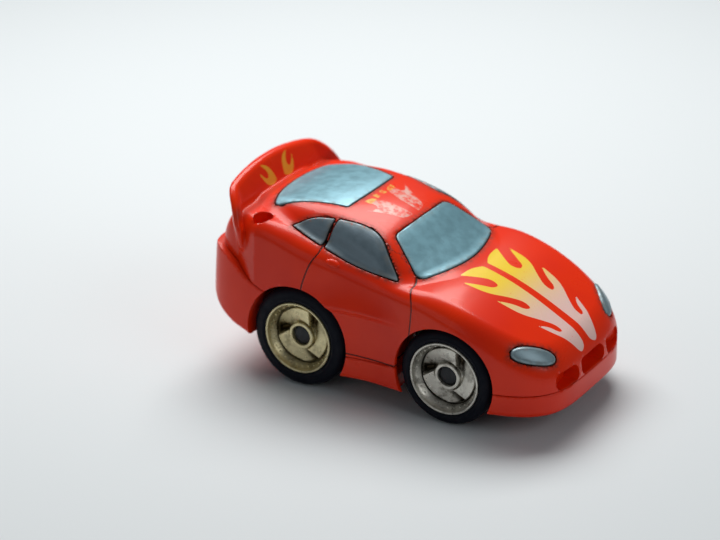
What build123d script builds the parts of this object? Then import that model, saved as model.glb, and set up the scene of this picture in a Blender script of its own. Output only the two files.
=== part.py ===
"""Palm-size remote control car, squashed coupe body.

Frame: +X towards the nose, +Y to the car's left, +Z up, origin on the ground at the middle of the
outline. Everything is in millimetres.
"""
from build123d import *
import math
import os

os.makedirs("parts", exist_ok=True)

# ---------------------------------------------------------------- driving dimensions
FRONT_AXLE_X = 15.7
REAR_AXLE_X = -15.3
FRONT_TYRE_R = 9.2
REAR_TYRE_R = 9.8
RIM_R = 7.0
WHEEL_FACE_Y = 18.5
FRONT_TYRE_W = 6.6
REAR_TYRE_W = 7.9
AXLE_R = 0.75

NOSE_X = 36.2
TAIL_X = -36.2
WALL = 1.2
PANE_DEPTH = 0.6
PANE_GAP = 0.2
SEAM_GAP = 0.15
WAIST_Z = 11.0
CABIN_BASE_Z = 20.0
CABIN_LEAN = 0.33

BASE_Z = 4.3
PLATE_T = 0.8
FLOOR_Z = BASE_Z + PLATE_T
FLOOR_TOP = FLOOR_Z + PLATE_T
KINGPIN_Y = 10.4
KINGPIN_R = 0.6
STEER_ARM = 5.0
STEER_PLATE_Z = 13.2
TIE_ROD_Z = 11.6
COIL_Z = 15.6
BEARING_Y = 9.3

MODULE = 0.4
GEAR_TEETH = 24
PINION_TEETH = 8
MESH_ANGLE = 35.0
GEAR_Y = -7.4
GEAR_W = 2.0

# side-view lines of the lower body and the cabin, as (x, z), tail to nose
BODY_TOP = [(-36.3, 20.5), (-35.0, 24.5), (-32.5, 28.2), (-29.0, 30.8), (-24.0, 31.3), (-15.0, 29.4),
            (-5.0, 26.6), (5.0, 24.7), (12.0, 24.5), (18.0, 23.0), (23.5, 20.9), (29.5, 17.8),
            (33.8, 15.7), (35.4, 13.8), (36.3, 11.5)]
BODY_BOTTOM = [(-36.3, 16.0), (-34.0, 12.2), (-30.0, 9.6), (-26.0, 8.2), (-20.0, 4.0), (0.0, 3.9),
               (28.0, 3.9), (34.0, 4.2), (35.5, 5.0), (36.3, 6.8)]
BODY_WIDTH = [(-36.3, 19.2), (-24.0, 19.5), (-15.0, 19.7), (-1.0, 18.6), (14.0, 19.7), (22.0, 19.6),
              (36.3, 19.2)]
BODY_SQUARENESS = [(-36.3, 5.5), (-10.0, 5.5), (15.0, 4.9), (24.0, 4.4), (36.3, 3.0)]
CABIN_TOP = [(-31.5, 30.6), (-29.0, 31.9), (-24.0, 32.8), (-19.0, 33.7), (-14.0, 34.0), (-10.0, 33.6),
             (-5.0, 32.7), (0.4, 30.9), (6.0, 27.6), (11.7, 24.3), (13.0, 23.2)]
CABIN_WIDTH = [(-31.5, 10.0), (-29.0, 12.6), (-24.0, 15.7), (-18.0, 17.4), (-10.0, 17.2), (-3.0, 16.9),
               (3.0, 16.2), (8.0, 14.8), (11.7, 12.0), (13.0, 9.0)]
BODY_STATIONS = [-36.2, -35.3, -33.5, -30.0, -26.0, -21.0, -15.0, -8.0, -1.0, 6.0, 12.0, 17.0, 22.0,
                 27.0, 31.0, 34.0, 35.5, 36.2]
CABIN_STATIONS = [-31.5, -29.0, -24.0, -19.0, -14.0, -9.0, -4.0, 0.4, 4.0, 8.0, 11.0, 13.0]
# top edge of the lower body, seen from the side: front lip, sill, then the rising bumper seam
SEAM_LINE = [(38.0, 8.8), (22.0, 8.8), (16.0, 9.65), (-16.0, 9.65), (-20.0, 17.0), (-23.0, 18.3),
             (-26.2, 19.6), (-30.0, 22.3), (-34.0, 24.0), (-38.0, 24.3)]


def along(line, x):
    """Height or width of a smooth line through (position, value) points at position x."""
    last = len(line) - 1
    i = max(k for k in range(last) if line[k][0] <= x or k == 0)
    x0, v0 = line[i]
    x1, v1 = line[i + 1]
    before = line[max(i - 1, 0)]
    after = line[min(i + 2, last)]
    slope0 = (v1 - before[1]) / (x1 - before[0])
    slope1 = (after[1] - v0) / (after[0] - x0)
    t = (x - x0) / (x1 - x0)
    step = x1 - x0
    start = (2 * t**3 - 3 * t**2 + 1) * v0 + (t**3 - 2 * t**2 + t) * step * slope0
    end = (3 * t**2 - 2 * t**3) * v1 + (t**3 - t**2) * step * slope1
    return start + end


def body_half_width(x):
    """Plan outline: rounded nose, squarer tail."""
    power = 3.7 if x > 0 else 6.0
    reach = NOSE_X + 0.25
    return along(BODY_WIDTH, x) * (1 - abs(x / reach) ** power) ** (1 / power)


def closed_section(x, side):
    """Closed profile across the car at x from its right-hand points, bottom to centre line."""
    left = [(-y, z) for y, z in reversed(side[:-1])]
    with BuildSketch(Plane.YZ.offset(x)) as sketch:
        with BuildLine():
            Spline(*[(y, z) for y, z in side + left])
            Line((-side[0][0], side[0][1]), side[0])
        make_face()
    return sketch.sketch


def body_section(x, inset):
    """Cross-section of the lower body, shrunk by inset."""
    power = along(BODY_SQUARENESS, x)
    width = body_half_width(x) - inset
    top = along(BODY_TOP, x) - inset
    bottom = along(BODY_BOTTOM, x) - 1.5 * inset
    waist = min(WAIST_Z, 0.6 * bottom + 0.4 * top)
    waist = max(waist, 0.55 * bottom + 0.45 * top) if x < -20 else waist
    side = [(0.96 * width, bottom), (0.99 * width, 0.5 * (bottom + waist))]
    for k in range(7):
        angle = math.radians(90 * k / 6)
        lean = 1 - 0.03 * math.sin(angle)
        y = width * lean * math.cos(angle) ** (2 / power)
        side.append((y if k < 6 else 0.0, waist + (top - waist) * math.sin(angle) ** (2 / power)))
    return closed_section(x, side)


def cabin_section(x, inset):
    """Cross-section of the cabin, with its sides leaning inwards, shrunk by inset."""
    power = 5.0
    width = along(CABIN_WIDTH, x) - inset
    height = max(along(CABIN_TOP, x) - inset - CABIN_BASE_Z, 1.0)
    side = [(width, CABIN_BASE_Z - 2)]
    for k in range(7):
        angle = math.radians(90 * k / 6)
        rise = height * math.sin(angle) ** (2 / power)
        y = (width - CABIN_LEAN * rise) * math.cos(angle) ** (2 / power)
        side.append((y if k < 6 else 0.0, CABIN_BASE_Z + rise))
    return closed_section(x, side)


def moved_in(station, first, last, inset):
    """The end stations move in by the inset, and the others stay."""
    return min(max(station, first + inset), last - inset)


def body_solid(inset):
    """Solid of the lower body, shrunk by inset."""
    places = sorted({moved_in(x, TAIL_X, NOSE_X, inset) for x in BODY_STATIONS})
    with BuildPart() as solid:
        loft([body_section(x, inset) for x in places])
    return solid.part


def cabin_solid(inset):
    """Solid of the cabin, shrunk by inset."""
    places = sorted({moved_in(x, -31.5, 13.0, inset) for x in CABIN_STATIONS})
    with BuildPart() as solid:
        loft([cabin_section(x, inset) for x in places])
    return solid.part


def save(part, name):
    """Label a finished piece and write it."""
    part.label = name
    export_step(part, f"parts/{name}.step")


def box_part(low, high):
    """Block between two corners."""
    middle = [(a + b) / 2 for a, b in zip(low, high)]
    with BuildPart(Plane(middle)) as block:
        Box(high[0] - low[0], high[1] - low[1], high[2] - low[2])
    return block.part


def rod_part(start, direction, radius, length):
    """Cylinder from start along direction."""
    with BuildPart(Plane(origin=start, z_dir=direction)) as rod:
        Cylinder(radius, length, align=(Align.CENTER, Align.CENTER, Align.MIN))
    return rod.part


def side_prism(points, y_near, y_far):
    """Side-view outline in (x, z), extruded across the car between two y values."""
    with BuildPart() as prism:
        with BuildSketch(Plane.XZ.offset(-y_near)):
            with BuildLine():
                Polyline(*points, close=True)
            make_face()
        extrude(amount=y_near - y_far)
    return prism.part


def joined(parts):
    """Group of separate pieces in one node, or one fused piece where they touch."""
    with BuildPart() as group:
        for part in parts:
            add(part)
    return group.part


def cut(part, tools):
    """The part with the tools taken away."""
    with BuildPart() as rest:
        add(part)
        for tool in tools:
            add(tool, mode=Mode.SUBTRACT)
    return rest.part


def common(part, tool):
    """The volume that two solids share."""
    with BuildPart() as shared:
        add(part)
        add(tool, mode=Mode.INTERSECT)
    return shared.part


def both_sides(make):
    """The right and left versions of a piece, from a function of the side (-1 right, +1 left)."""
    return [make(-1), make(1)]


# ---------------------------------------------------------------- outer form
body_outer = body_solid(0)
body_seat = body_solid(PANE_DEPTH)
body_inner = body_solid(WALL)
cabin_outer = cabin_solid(0)
cabin_seat = cabin_solid(PANE_DEPTH)
cabin_inner = cabin_solid(WALL)

FRONT_ARCH_R = 10.0
REAR_ARCH_R = 10.6
WELL_R = 11.3
WELL_IN_Y = 9.9
WELL_OUT_Y = 18.0


def wheel_cut(side, axle_x, axle_z, radius, y_in, y_out):
    """Cylinder across the car that opens a wheel arch or well."""
    return rod_part((axle_x, side * y_in, axle_z), (0, side, 0), radius, y_out - y_in)


def arch_tools(side):
    """Both arch openings of one side, and the wider well that a steered front wheel turns in."""
    well = wheel_cut(side, FRONT_AXLE_X, FRONT_TYRE_R, WELL_R, WELL_IN_Y, WELL_OUT_Y)
    return [wheel_cut(side, FRONT_AXLE_X + 0.3, FRONT_TYRE_R, FRONT_ARCH_R, WELL_IN_Y, 24.0),
            wheel_cut(side, REAR_AXLE_X, REAR_TYRE_R, REAR_ARCH_R, WELL_IN_Y + 0.3, 24.0),
            common(well, box_part((0, -20, 0), (32, 20, FRONT_TYRE_R + FRONT_ARCH_R)))]


arches = arch_tools(-1) + arch_tools(1)

# ---------------------------------------------------------------- panes and headlights
DOOR_WINDOW = [(-9.8, 31.9), (-5.2, 31.9), (-1.4, 30.4), (4.8, 24.3), (-3.6, 25.2), (-10.7, 27.6)]
QUARTER_WINDOW = [(-10.4, 31.7), (-14.9, 31.0), (-18.2, 29.9), (-14.8, 28.6), (-11.3, 27.8)]
PANE_CORNER_R = 0.9
SIDE_PANE_CORNER_R = 0.4
HEADLIGHT = (31.4, 13.7, 15.7)
HEADLIGHT_HALF_LONG = 4.4
HEADLIGHT_HALF_HIGH = 1.95


def glass_prism(straight_x, straight_y, bowed_x, bowed_y, bow_x):
    """Upright prism over a symmetric pane outline with one straight and one bowed edge."""
    with BuildPart() as prism:
        with BuildSketch(Plane.XY.offset(CABIN_BASE_Z)) as outline:
            with BuildLine():
                Line((bowed_x, bowed_y), (straight_x, straight_y))
                Line((straight_x, straight_y), (straight_x, -straight_y))
                Line((straight_x, -straight_y), (bowed_x, -bowed_y))
                ThreePointArc((bowed_x, -bowed_y), (bow_x, 0), (bowed_x, bowed_y))
            make_face()
            fillet(outline.vertices(), PANE_CORNER_R)
        extrude(amount=20)
    return prism.part


def windscreen_prism(margin):
    """Windscreen outline, which bows forward at the bonnet."""
    return glass_prism(0.4 + margin, 9.2 - margin, 8.0 - margin, 13.4 - margin, 11.4 - margin)


def rear_window_prism(margin):
    """Rear window outline, which bows back at the tail."""
    return glass_prism(-10.2 - margin, 8.2 - margin, -24.2 + margin, 11.0 - margin, -26.4 + margin)


def side_window_prism(points, side, margin):
    """Prism through one side window outline, pulled in by margin."""
    with BuildPart() as prism:
        with BuildSketch(Plane.XZ.offset(-side * 8.0)) as outline:
            with BuildLine():
                Polyline(*points, close=True)
            make_face()
            fillet(outline.vertices(), SIDE_PANE_CORNER_R)
            if margin:
                offset(amount=-margin)
        extrude(amount=-side * 14.0)
    return prism.part


def headlight_prism(side, margin):
    """Oval prism through one headlight, square to the nose there."""
    face = Plane(origin=(HEADLIGHT[0], side * HEADLIGHT[1], HEADLIGHT[2]),
                 x_dir=(0.69, -side * 0.68, -0.25), z_dir=(0.62, side * 0.5, 0.6))
    with BuildPart() as prism:
        with BuildSketch(face.offset(-4)):
            Ellipse(HEADLIGHT_HALF_LONG - margin, HEADLIGHT_HALF_HIGH - margin)
        extrude(amount=8)
    return prism.part


def pane(prism, outer, seats):
    """Pane between the seats and the outer surface, within the prism."""
    return cut(common(outer, prism), seats)


windscreen = pane(windscreen_prism(PANE_GAP), cabin_outer, [cabin_seat, body_seat])
rear_window = pane(rear_window_prism(PANE_GAP), cabin_outer, [cabin_seat, body_seat])
side_panes = {}
for side, word in ((-1, "right"), (1, "left")):
    for place, window in (("door", DOOR_WINDOW), ("quarter", QUARTER_WINDOW)):
        prism = side_window_prism(window, side, PANE_GAP)
        side_panes[f"{place}_window_{word}"] = pane(prism, cabin_outer, [cabin_seat, body_seat])
    side_panes[f"headlight_{word}"] = pane(headlight_prism(side, PANE_GAP), body_outer, [body_seat])

cabin_pockets = [windscreen_prism(0), rear_window_prism(0)]
for side in (-1, 1):
    cabin_pockets.append(side_window_prism(DOOR_WINDOW, side, 0))
    cabin_pockets.append(side_window_prism(QUARTER_WINDOW, side, 0))

# ---------------------------------------------------------------- rear wing
WING_BASE_Z = 25.5


def wing_block(rears, half_widths, corner):
    """Solid of rounded plan sections whose rear edge leans back with height."""
    with BuildPart() as block:
        for z, rear, half in zip((WING_BASE_Z, 32.0, 37.4), rears, half_widths):
            with BuildSketch(Plane.XY.offset(z)):
                with Locations(((rear - 12.0) / 2, 0)):
                    RectangleRounded(-12.0 - rear, 2 * half, corner)
        loft()
    return block.part


def wing():
    """Curved wall round the tail, with a crowned top edge and fins that drop to the flanks."""
    wall = cut(wing_block((-29.6, -31.2, -35.6), (18.4, 18.5, 18.6), 6.0),
               [wing_block((-26.6, -29.2, -34.0), (16.7, 16.8, 16.9), 4.6)])
    side_view = side_prism([(-38.0, WING_BASE_Z), (-27.0, WING_BASE_Z), (-27.4, 28.5), (-28.8, 31.2),
                            (-30.4, 34.0), (-31.2, 38.0), (-38.0, 38.0)], 22.0, -22.0)
    with BuildPart() as crown:
        with BuildSketch(Plane.YZ.offset(-38.0)):
            with BuildLine():
                ThreePointArc((-20.0, 33.2), (0, 36.7), (20.0, 33.2))
                Polyline((20.0, 33.2), (20.0, 20.0), (-20.0, 20.0), (-20.0, 33.2))
            make_face()
        extrude(amount=12)
    return common(common(wall, side_view), crown.part)


# ---------------------------------------------------------------- body shell
FRONT_SCREW_X = 27.6
REAR_SCREW_X = -19.2
SCREW_R = 0.7
SCREW_HEAD_R = 1.4
SCREW_POST_R = 1.8
SOCKET_X = -24.4
SOCKET_Y = -14.9
SOCKET_R = 1.9
SOCKET_DEPTH = 5.0
SOCKET_TOP_Z = 30.2
GRILLE_Z = (9.0, 12.2)
GRILLE_SLOTS = [(-12.2, -5.4), (-4.4, 4.4), (5.4, 12.2)]


def seam_block(raise_by):
    """Everything below the seam between the shell and the lower body."""
    points = [(x, z + raise_by) for x, z in SEAM_LINE] + [(-38.0, 0.0), (38.0, 0.0)]
    return side_prism(points, 24.0, -24.0)


outer_form = joined([body_outer, cabin_outer])
inner_form = joined([body_inner, cabin_inner])
shell_wall = cut(outer_form, [inner_form])
SCREW_XS = (FRONT_SCREW_X, REAR_SCREW_X)
screw_posts = [rod_part((x, 0, FLOOR_TOP), (0, 0, 1), SCREW_POST_R, 40) for x in SCREW_XS]
grille_back = box_part((30.4, -13.4, 7.0), (37.0, 13.4, 13.4))
socket_tube = rod_part((SOCKET_X, SOCKET_Y, 23.5), (0, 0, 1), SOCKET_R + 1.0, 12)
inside_parts = [common(part, outer_form) for part in screw_posts + [grille_back, socket_tube]]
grille_slots = []
for low, high in GRILLE_SLOTS:
    grille_slots.append(box_part((31.4, low, GRILLE_Z[0]), (38.0, high, GRILLE_Z[1])))
pilot_holes = [rod_part((x, 0, FLOOR_TOP - 1), (0, 0, 1), SCREW_R, 6) for x in SCREW_XS]
socket_bore = rod_part((SOCKET_X, SOCKET_Y, SOCKET_TOP_Z - SOCKET_DEPTH), (0, 0, 1), SOCKET_R, 12)

body_shell = joined([shell_wall, wing()] + inside_parts)
body_shell = cut(body_shell, [seam_block(SEAM_GAP)] + arches)
body_shell = cut(body_shell, [cut(prism, [cabin_seat, body_seat]) for prism in cabin_pockets])
body_shell = cut(body_shell, [cut(headlight_prism(side, 0), [body_seat]) for side in (-1, 1)])
body_shell = cut(body_shell, grille_slots + pilot_holes + [socket_bore])

# ---------------------------------------------------------------- lower body
SWITCH_X = 24.2
SWITCH_Y = -4.6
CHARGE_X = 23.6
CHARGE_Y = 4.6
CHARGE_NOSE_R = 1.9
CHARGE_BORE_R = 1.25
CHARGE_BORE_DEPTH = 4.8
SLOT = ((SWITCH_X - 1.9, SWITCH_Y - 0.85), (SWITCH_X + 1.9, SWITCH_Y + 0.85))


def rear_pan():
    """Sloping floor under the tail, from the base plate up to the bumper."""
    places = [-35.4, -34.0, -32.0, -30.0, -28.0, -26.0, -24.0, -21.2]
    low = [(x, along(BODY_BOTTOM, x)) for x in places]
    high = [(x, z + 1.0) for x, z in reversed(low)]
    return side_prism(low + high, 17.0, -17.0)


def floor_cuts(z_low, z_high):
    """Openings through a floor plate for the gear, switch, charging socket and screws."""
    return [box_part((REAR_AXLE_X - 3.6, GEAR_Y - 1.25, z_low), (REAR_AXLE_X + 3.6, GEAR_Y + 1.25, z_high)),
            box_part((*SLOT[0], z_low), (*SLOT[1], z_high)),
            rod_part((CHARGE_X, CHARGE_Y, z_low), (0, 0, 1), CHARGE_NOSE_R, z_high - z_low)]


base_plate = common(box_part((-26.0, -20.0, BASE_Z), (36.0, 20.0, FLOOR_Z)), body_outer)
under_base = box_part((-40.0, -24.0, 0.0), (40.0, 24.0, BASE_Z))
lower_wall = cut(body_outer, [body_inner])
lower_parts = [lower_wall, common(rear_pan(), body_outer), base_plate]
lower_body = joined([common(part, seam_block(0)) for part in lower_parts])
lower_body = cut(lower_body, arches + floor_cuts(BASE_Z - 1, FLOOR_Z + 1) + grille_slots + [under_base])
lower_body = cut(lower_body, [rod_part((x, 0, 0), (0, 0, 1), SCREW_HEAD_R + 0.1, 8) for x in SCREW_XS])

# ---------------------------------------------------------------- chassis
MOTOR_X = REAR_AXLE_X + MODULE * (GEAR_TEETH + PINION_TEETH) / 2 * math.cos(math.radians(MESH_ANGLE))
MOTOR_Z = REAR_TYRE_R + MODULE * (GEAR_TEETH + PINION_TEETH) / 2 * math.sin(math.radians(MESH_ANGLE))
MOTOR_R = 5.0
MOTOR_FLAT = 4.0
CAN_Y = (-5.2, 6.8)
BELL_Y = (6.8, 8.6)
CLAMP_T = 0.8
CELL_R = 5.0
CELL_HALF = 7.5
CELL_X = 2.4
BOARD_Z = 19.4
BOARD_T = 0.8
BOARD_LOW = (-5.0, -9.8)
BOARD_HIGH = (9.6, 9.8)
BOARD_POSTS = [(-3.5, 8.5), (-3.5, -8.5), (8.6, 8.1), (8.6, -8.1)]
PLATE_POSTS = [(19.0, 4.8), (19.0, -4.8)]
BUSH_R = 1.4


def motor_block(grow, y_low, y_high):
    """Flat-sided round motor outline, grown all round, between two y values."""
    with BuildPart() as block:
        with BuildSketch(Plane(origin=(MOTOR_X, y_low, MOTOR_Z), x_dir=(1, 0, 0), z_dir=(0, -1, 0))):
            Circle(MOTOR_R + grow)
            Rectangle(4 * MOTOR_R, 2 * (MOTOR_FLAT + grow), mode=Mode.INTERSECT)
        extrude(amount=y_low - y_high)
    return block.part


def y_rod(x, z, y_low, y_high, radius):
    """Rod across the car between two y values."""
    return rod_part((x, y_low, z), (0, 1, 0), radius, y_high - y_low)


def make_chassis():
    """Tub floor with bearing plates, motor cradle, posts and kingpin bosses."""
    solids = [box_part((-21.0, -8.7, FLOOR_Z), (30.0, 8.7, FLOOR_TOP)),
              box_part((-21.0, -9.7, FLOOR_Z), (5.0, 9.7, FLOOR_TOP))]
    for side in (-1, 1):
        plate = box_part((-18.3, BEARING_Y - 0.4, FLOOR_Z), (-12.3, BEARING_Y + 0.4, 12.6))
        solids.append(plate if side > 0 else mirror(plate, about=Plane.XZ))
        lobe = box_part((FRONT_AXLE_X - 1.5, 0, FLOOR_Z), (FRONT_AXLE_X + 1.5, KINGPIN_Y, FLOOR_TOP))
        solids.append(lobe if side > 0 else mirror(lobe, about=Plane.XZ))
        solids.append(rod_part((FRONT_AXLE_X, side * KINGPIN_Y, FLOOR_Z), (0, 0, 1), 1.4, 1.6))
    for y_low, y_high in ((-4.2, -3.2), (3.6, 4.6)):
        solids.append(box_part((REAR_AXLE_X - 2.7, y_low, FLOOR_Z),
                               (MOTOR_X + MOTOR_R + CLAMP_T, y_high, MOTOR_Z)))
    solids += [rod_part((x, y, FLOOR_Z), (0, 0, 1), 0.9, BOARD_Z - FLOOR_Z) for x, y in BOARD_POSTS]
    solids += [rod_part((x, y, FLOOR_Z), (0, 0, 1), 1.3, STEER_PLATE_Z - FLOOR_Z) for x, y in PLATE_POSTS]
    tools = floor_cuts(FLOOR_Z - 1, FLOOR_TOP + 0.4)
    tools += [motor_block(0, -8.9, 8.9), y_rod(REAR_AXLE_X, REAR_TYRE_R, -8.9, 8.9, 1.3)]
    tools += [y_rod(REAR_AXLE_X, REAR_TYRE_R, y_low, y_low + 1.2, BUSH_R) for y_low in (-9.95, 8.75)]
    tools += [rod_part((x, 0, 0), (0, 0, 1), SCREW_R + 0.1, 12) for x in SCREW_XS]
    tools += [rod_part((FRONT_AXLE_X, side * KINGPIN_Y, 0), (0, 0, 1), KINGPIN_R, 12) for side in (-1, 1)]
    tools += [rod_part((x, y, 8.0), (0, 0, 1), 0.5, 12) for x, y in PLATE_POSTS]
    return cut(joined(solids), tools)


chassis = make_chassis()
body_screws = []
for x in SCREW_XS:
    head = cut(rod_part((x, 0, BASE_Z + 0.1), (0, 0, 1), SCREW_HEAD_R, PLATE_T - 0.1),
               [box_part((x - 1.0, -0.15, 0), (x + 1.0, 0.15, BASE_Z + 0.4)),
                box_part((x - 0.15, -1.0, 0), (x + 0.15, 1.0, BASE_Z + 0.4))])
    body_screws.append(joined([head, rod_part((x, 0, FLOOR_Z), (0, 0, 1), SCREW_R, 4.5)]))

# ---------------------------------------------------------------- gears


def gear_points(teeth, first_angle, centre):
    """Outline of a stub-tooth involute gear, one tooth centred on first_angle (degrees)."""
    pitch_r = MODULE * teeth / 2
    pressure = math.radians(25)
    base_r = pitch_r * math.cos(pressure)
    tip_r = pitch_r + 0.8 * MODULE
    root_r = pitch_r - MODULE
    play = 0.05
    half_pitch = math.pi / (2 * teeth) - play / (2 * pitch_r)
    spread = math.tan(pressure) - pressure
    flank = []
    start_r = max(base_r, root_r)
    for k in range(6):
        radius = start_r + (tip_r - start_r) * k / 5
        turn = math.acos(min(base_r / radius, 1))
        flank.append((radius, half_pitch + spread - (math.tan(turn) - turn)))
    if root_r < base_r:
        flank.insert(0, (root_r, flank[0][1]))
    points = []
    for tooth in range(teeth):
        middle = math.radians(first_angle + 360 * tooth / teeth)
        outline = [(r, middle - a) for r, a in flank] + [(r, middle + a) for r, a in reversed(flank)]
        points += [(centre[0] + r * math.cos(a), centre[1] + r * math.sin(a)) for r, a in outline]
    return points


def gear(teeth, first_angle, centre, bore_r):
    """Spur gear across the car at GEAR_Y."""
    wheel = side_prism(gear_points(teeth, first_angle, centre), GEAR_Y + GEAR_W / 2, GEAR_Y - GEAR_W / 2)
    return cut(wheel, [y_rod(centre[0], centre[1], -12, 12, bore_r)])


SHAFT_R = 0.5
drive_gear = joined([gear(GEAR_TEETH, MESH_ANGLE, (REAR_AXLE_X, REAR_TYRE_R), AXLE_R),
                     cut(y_rod(REAR_AXLE_X, REAR_TYRE_R, GEAR_Y + 1.0, GEAR_Y + 2.6, 1.2),
                         [y_rod(REAR_AXLE_X, REAR_TYRE_R, -12, 12, AXLE_R)])])
pinion = gear(PINION_TEETH, MESH_ANGLE + 180 + 180 / PINION_TEETH, (MOTOR_X, MOTOR_Z), SHAFT_R)

# ---------------------------------------------------------------- motor
motor_shaft = y_rod(MOTOR_X, MOTOR_Z, GEAR_Y - 1.2, 7.8, SHAFT_R)
armature = cut(y_rod(MOTOR_X, MOTOR_Z, -3.6, 4.4, 3.0), [motor_shaft])
motor_can = cut(motor_block(0, *CAN_Y), [motor_block(-0.4, CAN_Y[0] + 0.4, CAN_Y[1] + 1),
                                         y_rod(MOTOR_X, MOTOR_Z, -12, 0, SHAFT_R + 0.06)])
motor_end_bell = cut(motor_block(0, *BELL_Y), [y_rod(MOTOR_X, MOTOR_Z, 6, 8.0, SHAFT_R + 0.06)])
magnet_ring = cut(y_rod(MOTOR_X, MOTOR_Z, -3.6, 4.4, MOTOR_R - 0.4), [y_rod(MOTOR_X, MOTOR_Z, -4, 5, 3.3)])
magnet_space = box_part((MOTOR_X - 6, -5, MOTOR_Z - 2.4), (MOTOR_X + 6, 6, MOTOR_Z + 2.4))
motor_magnets = common(magnet_ring, magnet_space)
clamp_space = box_part((MOTOR_X - 8, -6, MOTOR_Z), (MOTOR_X + 8, 6, MOTOR_Z + 8))
motor_clamp = common(cut(motor_block(CLAMP_T, -4.2, 4.6), [motor_block(0, -5, 5)]), clamp_space)

# ---------------------------------------------------------------- rear axle and bushes
rear_axle = y_rod(REAR_AXLE_X, REAR_TYRE_R, -16.0, 16.0, AXLE_R)


def bush(side):
    """Flanged axle bush in a bearing plate."""
    inner_y = side * (BEARING_Y - 0.4)
    sleeve = rod_part((REAR_AXLE_X, inner_y, REAR_TYRE_R), (0, side, 0), BUSH_R, 1.2)
    flange = rod_part((REAR_AXLE_X, inner_y + side * 0.8, REAR_TYRE_R), (0, side, 0), 1.9, 0.4)
    return cut(joined([sleeve, flange]), [y_rod(REAR_AXLE_X, REAR_TYRE_R, -12, 12, AXLE_R + 0.04)])


# ---------------------------------------------------------------- wheels
BARREL_R = 6.6
BARREL_IN_R = 5.9
LIP_Y = 17.6
WEB_Y = (15.2, 16.0)
HUB_R = 2.5
HUB_END_Y = 16.9
CAP_R = 1.8
CAP_Y = (16.45, 16.85)
DISH_R = 6.5
WINDOW_R = (2.9, 5.2)
WINDOW_SWEEP = 62
WINDOW_SKEW = 0.35
WINDOW_TURNS = (20, 140, 260)
SHOULDER_R = 1.5


def spun(axle_x, axle_z, side, points, corner=0.0, corner_count=0):
    """Solid of revolution about an axle from a (radius, y) outline on one side of the car."""
    with BuildPart() as solid:
        with BuildSketch(Plane(origin=(axle_x, 0, axle_z), x_dir=(1, 0, 0), z_dir=(0, 0, 1))) as outline:
            with BuildLine():
                Polyline(*[(r, side * y) for r, y in points], close=True)
            make_face()
            if corner:
                outer = outline.vertices().sort_by(Axis.X)[-corner_count:]
                fillet(outer, corner)
        revolve(axis=Axis((axle_x, 0, axle_z), (0, 1, 0)))
    return solid.part


def tyre(axle_x, axle_z, side, radius, width):
    """Smooth tyre with rounded shoulders and a recess for the rim's lip."""
    inner_y = WHEEL_FACE_Y - width
    section = [(BARREL_R, inner_y), (radius, inner_y), (radius, WHEEL_FACE_Y),
               (RIM_R, WHEEL_FACE_Y), (RIM_R, LIP_Y), (BARREL_R, LIP_Y)]
    return spun(axle_x, axle_z, side, section, SHOULDER_R, 2)


def window_cut(axle_x, axle_z, side, turn):
    """Curved opening between two blades of the rim."""
    inner, outer = WINDOW_R
    start, sweep = math.radians(turn), math.radians(WINDOW_SWEEP)
    corners = [(r * math.cos(start + a), r * math.sin(start + a))
               for r, a in ((inner, 0), (outer, WINDOW_SKEW), (outer, WINDOW_SKEW + sweep), (inner, sweep))]
    halfway = start + WINDOW_SKEW + sweep / 2
    middle = (outer * math.cos(halfway), outer * math.sin(halfway))
    with BuildPart() as opening:
        with BuildSketch(Plane(origin=(axle_x, 0, axle_z), x_dir=(1, 0, 0), z_dir=(0, -1, 0))):
            with BuildLine():
                Line(corners[0], corners[1])
                ThreePointArc(corners[1], middle, corners[2])
                Line(corners[2], corners[3])
                Line(corners[3], corners[0])
            make_face()
        extrude(amount=20, both=True)
    back_y = WEB_Y[0] - 0.5
    band = spun(axle_x, axle_z, side, [(0, back_y), (6.2, back_y), (6.2, HUB_END_Y), (0, HUB_END_Y)])
    return common(band, opening.part)


def rim(axle_x, axle_z, side, width, bore_r, hub_y):
    """Deep-dish rim: barrel, outer lip, web with three blades, and hub with a recess for the cap."""
    inner_y = WHEEL_FACE_Y - width
    barrel = spun(axle_x, axle_z, side, [(BARREL_IN_R, inner_y), (BARREL_R, inner_y), (BARREL_R, LIP_Y),
                                         (RIM_R, LIP_Y), (RIM_R, WHEEL_FACE_Y), (DISH_R, WHEEL_FACE_Y),
                                         (BARREL_IN_R, LIP_Y - 0.3)])
    web = spun(axle_x, axle_z, side, [(0, WEB_Y[0]), (BARREL_IN_R, WEB_Y[0]),
                                      (BARREL_IN_R, WEB_Y[1]), (0, WEB_Y[1])])
    hub = spun(axle_x, axle_z, side, [(0, hub_y), (HUB_R, hub_y), (HUB_R, HUB_END_Y), (0, HUB_END_Y)])
    bores = [spun(axle_x, axle_z, side, [(0, 5), (bore_r, 5), (bore_r, 16.0), (0, 16.0)]),
             spun(axle_x, axle_z, side, [(0, 16.0), (CAP_R, 16.0), (CAP_R, 18.0), (0, 18.0)])]
    windows = [window_cut(axle_x, axle_z, side, turn) for turn in WINDOW_TURNS]
    return cut(joined([barrel, web, hub]), windows + bores)


def cap(axle_x, axle_z, side):
    """Centre cap in the hub recess."""
    section = [(0, CAP_Y[0]), (CAP_R, CAP_Y[0]), (CAP_R, CAP_Y[1]), (0, CAP_Y[1])]
    return spun(axle_x, axle_z, side, section)


# ---------------------------------------------------------------- steering
STUB_BORE_R = AXLE_R + 0.04


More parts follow.
